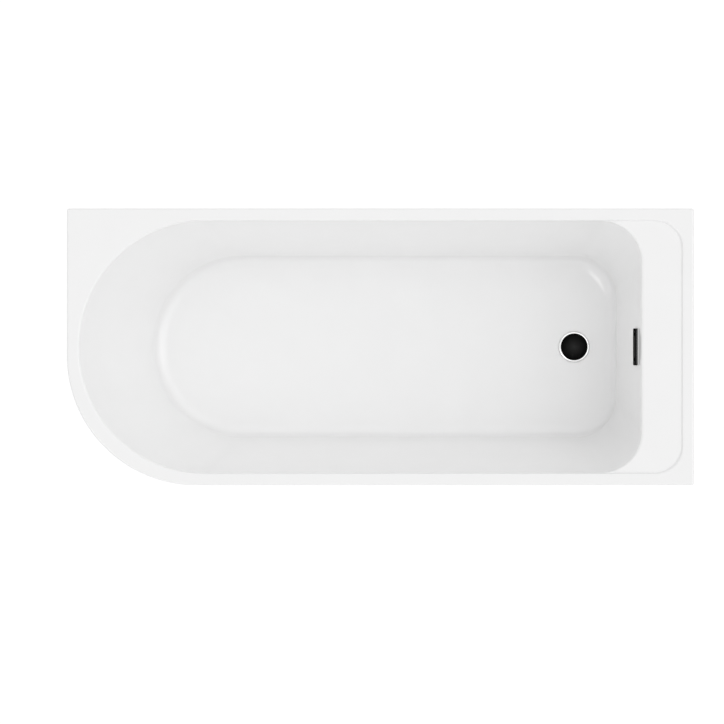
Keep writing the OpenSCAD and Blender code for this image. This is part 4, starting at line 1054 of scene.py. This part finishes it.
BAND_R, BAND_T, BAND_W, LUG, EAR_Y, SLIT = HOSE_ROOT + FIT, 1.2, 10, 8, 6, 0.75
ring = lathe([(BAND_R, 0.3), (BAND_R + 0.3, 0), (BAND_R + 0.9, 0), (BAND_R + BAND_T, 0.3),
    (BAND_R + BAND_T, 9.7), (BAND_R + 0.9, 10), (BAND_R + 0.3, 10), (BAND_R, 9.7)], 72)
cut(ring, [prism([(10, -SLIT), (40, -SLIT), (40, SLIT), (10, SLIT)], -1, 11)])
parts = [ring]
for side in SIDES:
    x0, x1 = BAND_R + 0.6, BAND_R + LUG + BAND_T
    ear = prism([(x0, side * SLIT), (x1, side * SLIT), (x1, side * EAR_Y), (x0, side * EAR_Y)], 0, BAND_W)
    parts.append(bevel(ear, 0.7, 3))
axis = shift(BAND_R + BAND_T + LUG / 2, EAR_Y + SEAT, BAND_W / 2) @ turn("X", 90)
parts.append(place(screw(1.5, 13.4, pitch=0.6, head_r=3, head_t=2), axis))
parts.append(place(hex_nut(3, 2, 1.5, 0.2), axis @ shift(z=2 * (EAR_Y + SEAT))))
places = [shift(HOSE_X, 0, HOSE_TOP - BAND_W - 8),
          shift(HOSE_END + 8, 0, INLET_Z) @ turn("Z", 90) @ turn("X", 90)]
piece(copies(join(parts), places), "fasteners", "hose_clips")

# ------------ waste
FLANGE_Z = RECESS_Z + 1 + 2 * SEAT
FLANGE_TOP = FLANGE_Z + 2.4
CHAMBER_TOP = INLET_Z + HOSE_ROOT + 0.5
CHAMBER_Z = INLET_Z - HOSE_ROOT - 4
HUB_TOP = FLANGE_Z - 2
THREAD_R, WASTE_THREAD, WASTE_PITCH, OUTLET_R = 23.9, 1.1, 2.309, 19.9
TUBE_R = THREAD_R - 3


def waste_thread(z0, z1, sides, bore):
    return thread(THREAD_R, WASTE_THREAD, WASTE_PITCH, z0, z1, sides, bore)


ring = lathe([(TUBE_R, -0.5), (THREAD_R, -0.5), (THREAD_R, 0), (40.6, 0), (40.9, 0.15), (41, 0.5),
    (40.85, 1), (40.3, 1.5), (39.4, 2), (38.4, 2.3), (37.2, 2.4), (22.2, 2.4), (21.3, 2.1),
    (TUBE_R, 1.4)], 192, FLANGE_Z)
hub = lathe([(7, -9), (9.6, -9), (10, -8.6), (10, -0.6), (9.4, 0), (7.4, 0), (7, -0.4)], 64, HUB_TOP)
parts = [ring, hub, waste_thread(CHAMBER_TOP + 2, FLANGE_Z - 0.4, 56, TUBE_R)]
for k in range(4):
    spoke = [(8.5, -1.5), (TUBE_R + 0.4, -1.5), (TUBE_R + 0.4, 1.5), (8.5, 1.5)]
    spoke = bevel(prism(spoke, HUB_TOP - 9, HUB_TOP - 2), 0.6, 2)
    parts.append(place(spoke, turn("Z", 90 * k)))
piece(place(join(parts), AT_WASTE), "chrome", "waste_flange")

inner = THREAD_R + 1
o = lathe([(inner, 0), (39.8, 0), (40, 0.2), (40, 0.8), (39.8, 1), (inner, 1)], 160, RECESS_Z + SEAT)
piece(place(o, AT_WASTE), "white_seal", "waste_top_seal")
inner, edge = THREAD_R + FIT, THREAD_R + 0.8
o = lathe([(inner, 0.3), (edge, 0), (36.2, 0), (36.8, 0.4), (37, 1.5), (36.8, 2.6), (36.2, 3), (edge, 3),
    (inner, 2.7)], 120, BACKING_Z - SEAT - LOWER_T)
piece(place(o, AT_WASTE), "black_rubber", "waste_lower_seal")

inner, roof, deep = TUBE_R + 3.05, CHAMBER_TOP - BODY_TOP, CHAMBER_Z - BODY_TOP
shell = [(inner, 0), (36.2, 0), (37, -0.6), (37, -5.3), (36.4, -6), (30.2, -6.2), (29.2, -7.2),
    (BODY_R, -8.6), (BODY_R, deep + 5), (28.3, deep + 2.4), (26.6, deep + 0.6), (24.4, deep),
    (22.6, deep), (OUTLET_R, deep - 0.4), (OUTLET_R, deep + 3), (22.5, deep + 3), (22.5, roof),
    (inner, roof)]
parts = [lathe(shell, 120, BODY_TOP), waste_thread(CHAMBER_Z - 22, CHAMBER_Z + 0.5, 64, OUTLET_R)]
for k in range(2, 11):
    rib = [(BODY_R - 0.6, BODY_TOP - 18), (36, BODY_TOP - 6), (BODY_R - 0.6, BODY_TOP - 6)]
    parts.append(place(prism(rib, -0.8, 0.8), turn("Z", 30 * k) @ turn("X", 90)))
body = place(join(parts), AT_WASTE)
mouth = INLET_X + COLLAR_T
inlet = place(spigot(mouth - WASTE_X - 21.5), shift(mouth, 0, INLET_Z) @ turn("Y", -90))
piece(join([body, inlet]), "pipe_plastic", "waste_body")

# ------------ click plug
CART_L, CART_FLOOR = 34, 3
CART_Z = HUB_TOP + 1 - CART_L
o = lathe([(0, 0), (5.6, 0), (6.6, 0.8), (6.95, 1.6), (6.95, 9), (6.3, 9.6), (6.3, 12.4), (6.95, 13),
    (6.95, 33.4), (6.4, CART_L), (4.6, CART_L), (4.05, 33.5), (4.05, CART_FLOOR), (0, CART_FLOOR)], 56,
    CART_Z)
piece(place(o, AT_WASTE), "brass", "click_cartridge")

SPRING_Z, SPRING_L, COIL_R, TURNS, WIRE, PER_TURN = CART_Z + CART_FLOOR + SEAT, 13, 3, 5, 0.5, 28
rings = []
for i in range(PER_TURN * TURNS + 1):
    a = 2 * pi * i / PER_TURN
    z = SPRING_Z + WIRE + (SPRING_L - 2 * WIRE) * i / (PER_TURN * TURNS)
    rings.append([((COIL_R + u) * cos(a), (COIL_R + u) * sin(a), z + v) for u, v in circle(WIRE, 10)])
spring = place(skin(rings), AT_WASTE)
spring.name = "click_spring_piece"
spring.data.materials.append(M["fasteners"])
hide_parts("click_spring")
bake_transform(spring)

STEM_Z, STEM_TOP = SPRING_Z + SPRING_L + SEAT, FLANGE_TOP + SEAT + 2
foot = STEM_Z - STEM_TOP
o = lathe([(0, foot), (3.5, foot), (4, foot + 0.5), (4, -6), (3.4, -5.6), (3.4, -4.6), (4, -4.2),
    (4, -0.4), (3.6, 0), (0, 0)], 48, STEM_TOP)
piece(place(o, AT_WASTE), "fasteners", "plug_stem", "plug")

CAP_Z, DOME = FLANGE_TOP + FIT, 4
dome_r = (CAP_R * CAP_R + DOME * DOME) / (2 * DOME)
under = STEM_TOP + SEAT - CAP_Z
pts = [(0, under), (32.6, under), (33.6, under - 0.4), (34, 0.3), (34.3, 0), (36.1, 0), (CAP_R, 0.4),
    (CAP_R, 2.4)]
for r in (36.45, 36.25, 35.9, 35.4, 34.6, 33, 30, 26, 21, 16, 11, 6, 2.5, 0):
    fall = dome_r - sqrt(dome_r * dome_r - r * r)
    soft = 0.55 * max(0, (r - 34.6) / 1.9) ** 2
    pts.append((r, 3 + DOME - fall - soft))
piece(place(lathe(pts, 160, CAP_Z), AT_WASTE), "black_cap", "plug_cap", "plug")
o = lathe([(27.5, 0.5), (27.9, 0.1), (28.6, 0), (32.4, 0), (33.2, 0.2), (33.5, 0.7), (33.3, 1.6),
    (32.6, 1.9), (28.4, 1.9), (27.6, 1.5)], 120, FLANGE_TOP + SEAT)
piece(place(o, AT_WASTE), "black_rubber", "plug_seal", "plug")


# ------------ room and light
def seen(tree, *rays):
    """1 for camera rays and for rays of the kinds named."""
    path = add_node(tree, "LightPath").outputs
    total = path["Is Camera Ray"]
    for ray in rays:
        both = add_node(tree, "Math", {0: total, 1: path[ray]}, operation="ADD", use_clamp=True)
        total = both.outputs[0]
    return total


def mixed(tree, share, a, b):
    return add_node(tree, "MixShader", {0: share, 1: a, 2: b}).outputs[0]


def floor_material():
    """A white background that still takes the object's shadow, clear from below."""
    s = Shade("studio_floor", grey(240), 0.7)
    s.color(s.noise(2, 2), [(0.4, grey(238)), (0.6, grey(242))])
    share = s.node("Math", {0: seen(s.tree, "Is Glossy Ray"), 1: 0.82}, operation="MULTIPLY")
    glow = s.node("Emission", {"Strength": 1.12})
    above = mixed(s.tree, share.outputs[0], s.bsdf.outputs[0], glow.outputs[0])
    clear = s.node("BsdfTransparent").outputs[0]
    surface = mixed(s.tree, s.node("NewGeometry").outputs["Backfacing"], above, clear)
    s.tree.links.new(surface, s.tree.nodes["Material Output"].inputs["Surface"])


floor = add(bpy.data.meshes.new("studio_floor"), "studio_floor")
floor.data.from_pydata([(-8, -8, 0), (8, -8, 0), (8, 8, 0), (-8, 8, 0)], [], [(0, 1, 2, 3)])
floor_material()
floor.data.materials.append(M["studio_floor"])

WHITE = (1, 1, 1, 1)
world = bpy.data.worlds.new("studio")
bpy.context.scene.world = world
world.use_nodes = True
tree = world.node_tree
light = tree.nodes["Background"]
light.inputs["Color"].default_value = WHITE
light.inputs["Strength"].default_value = 0.555
view = add_node(tree, "Background", {"Color": WHITE, "Strength": 1})
share = seen(tree, "Is Glossy Ray", "Is Transmission Ray")
surface = mixed(tree, share, light.outputs[0], view.outputs[0])
tree.links.new(surface, tree.nodes["World Output"].inputs["Surface"])

# Each lamp's name, the direction it comes from, its width in degrees and its strength.
for name, towards, width, strength in (
        ("key_lamp", (1, 0, 1), 75, 0.38), ("key_core", (1, 0, 1), 30, 0.123),
        ("high_lamp", (1, 0, 2), 30, 0.198), ("wall_lamp", (0, 1, 1), 75, 0.357),
        ("head_lamp", (-1, -1, 1.2), 60, 0.383), ("room_lamp", (0, -1, 0.5), 40, 0.187),
        ("window_lamp", (-0.21, -0.185, 0.96), 11, 0.07)):
    data = bpy.data.lights.new(name, "SUN")
    data.angle, data.energy = radians(width), strength
    add(data, name).rotation_euler = (-Vector(towards)).to_track_quat("-Z", "Y").to_euler()

# ------------ camera
PX = 2.7105 * MM              # one pixel of the photograph
PHOTO = 724                   # its side, in pixels
OFF_X, OFF_Y = -18.5, -15.15  # the picture's middle from the bath's, in pixels
cam_data = bpy.data.cameras.new("camera")
cam_data.type = "ORTHO"
cam_data.ortho_scale = PHOTO * PX
cam_data.clip_start, cam_data.clip_end = 0.1, 20
camera = add(cam_data, "camera")
camera.location = (OFF_X * PX, OFF_Y * PX, 4)
bpy.context.scene.camera = camera
bpy.context.scene.view_settings.view_transform = "Standard"
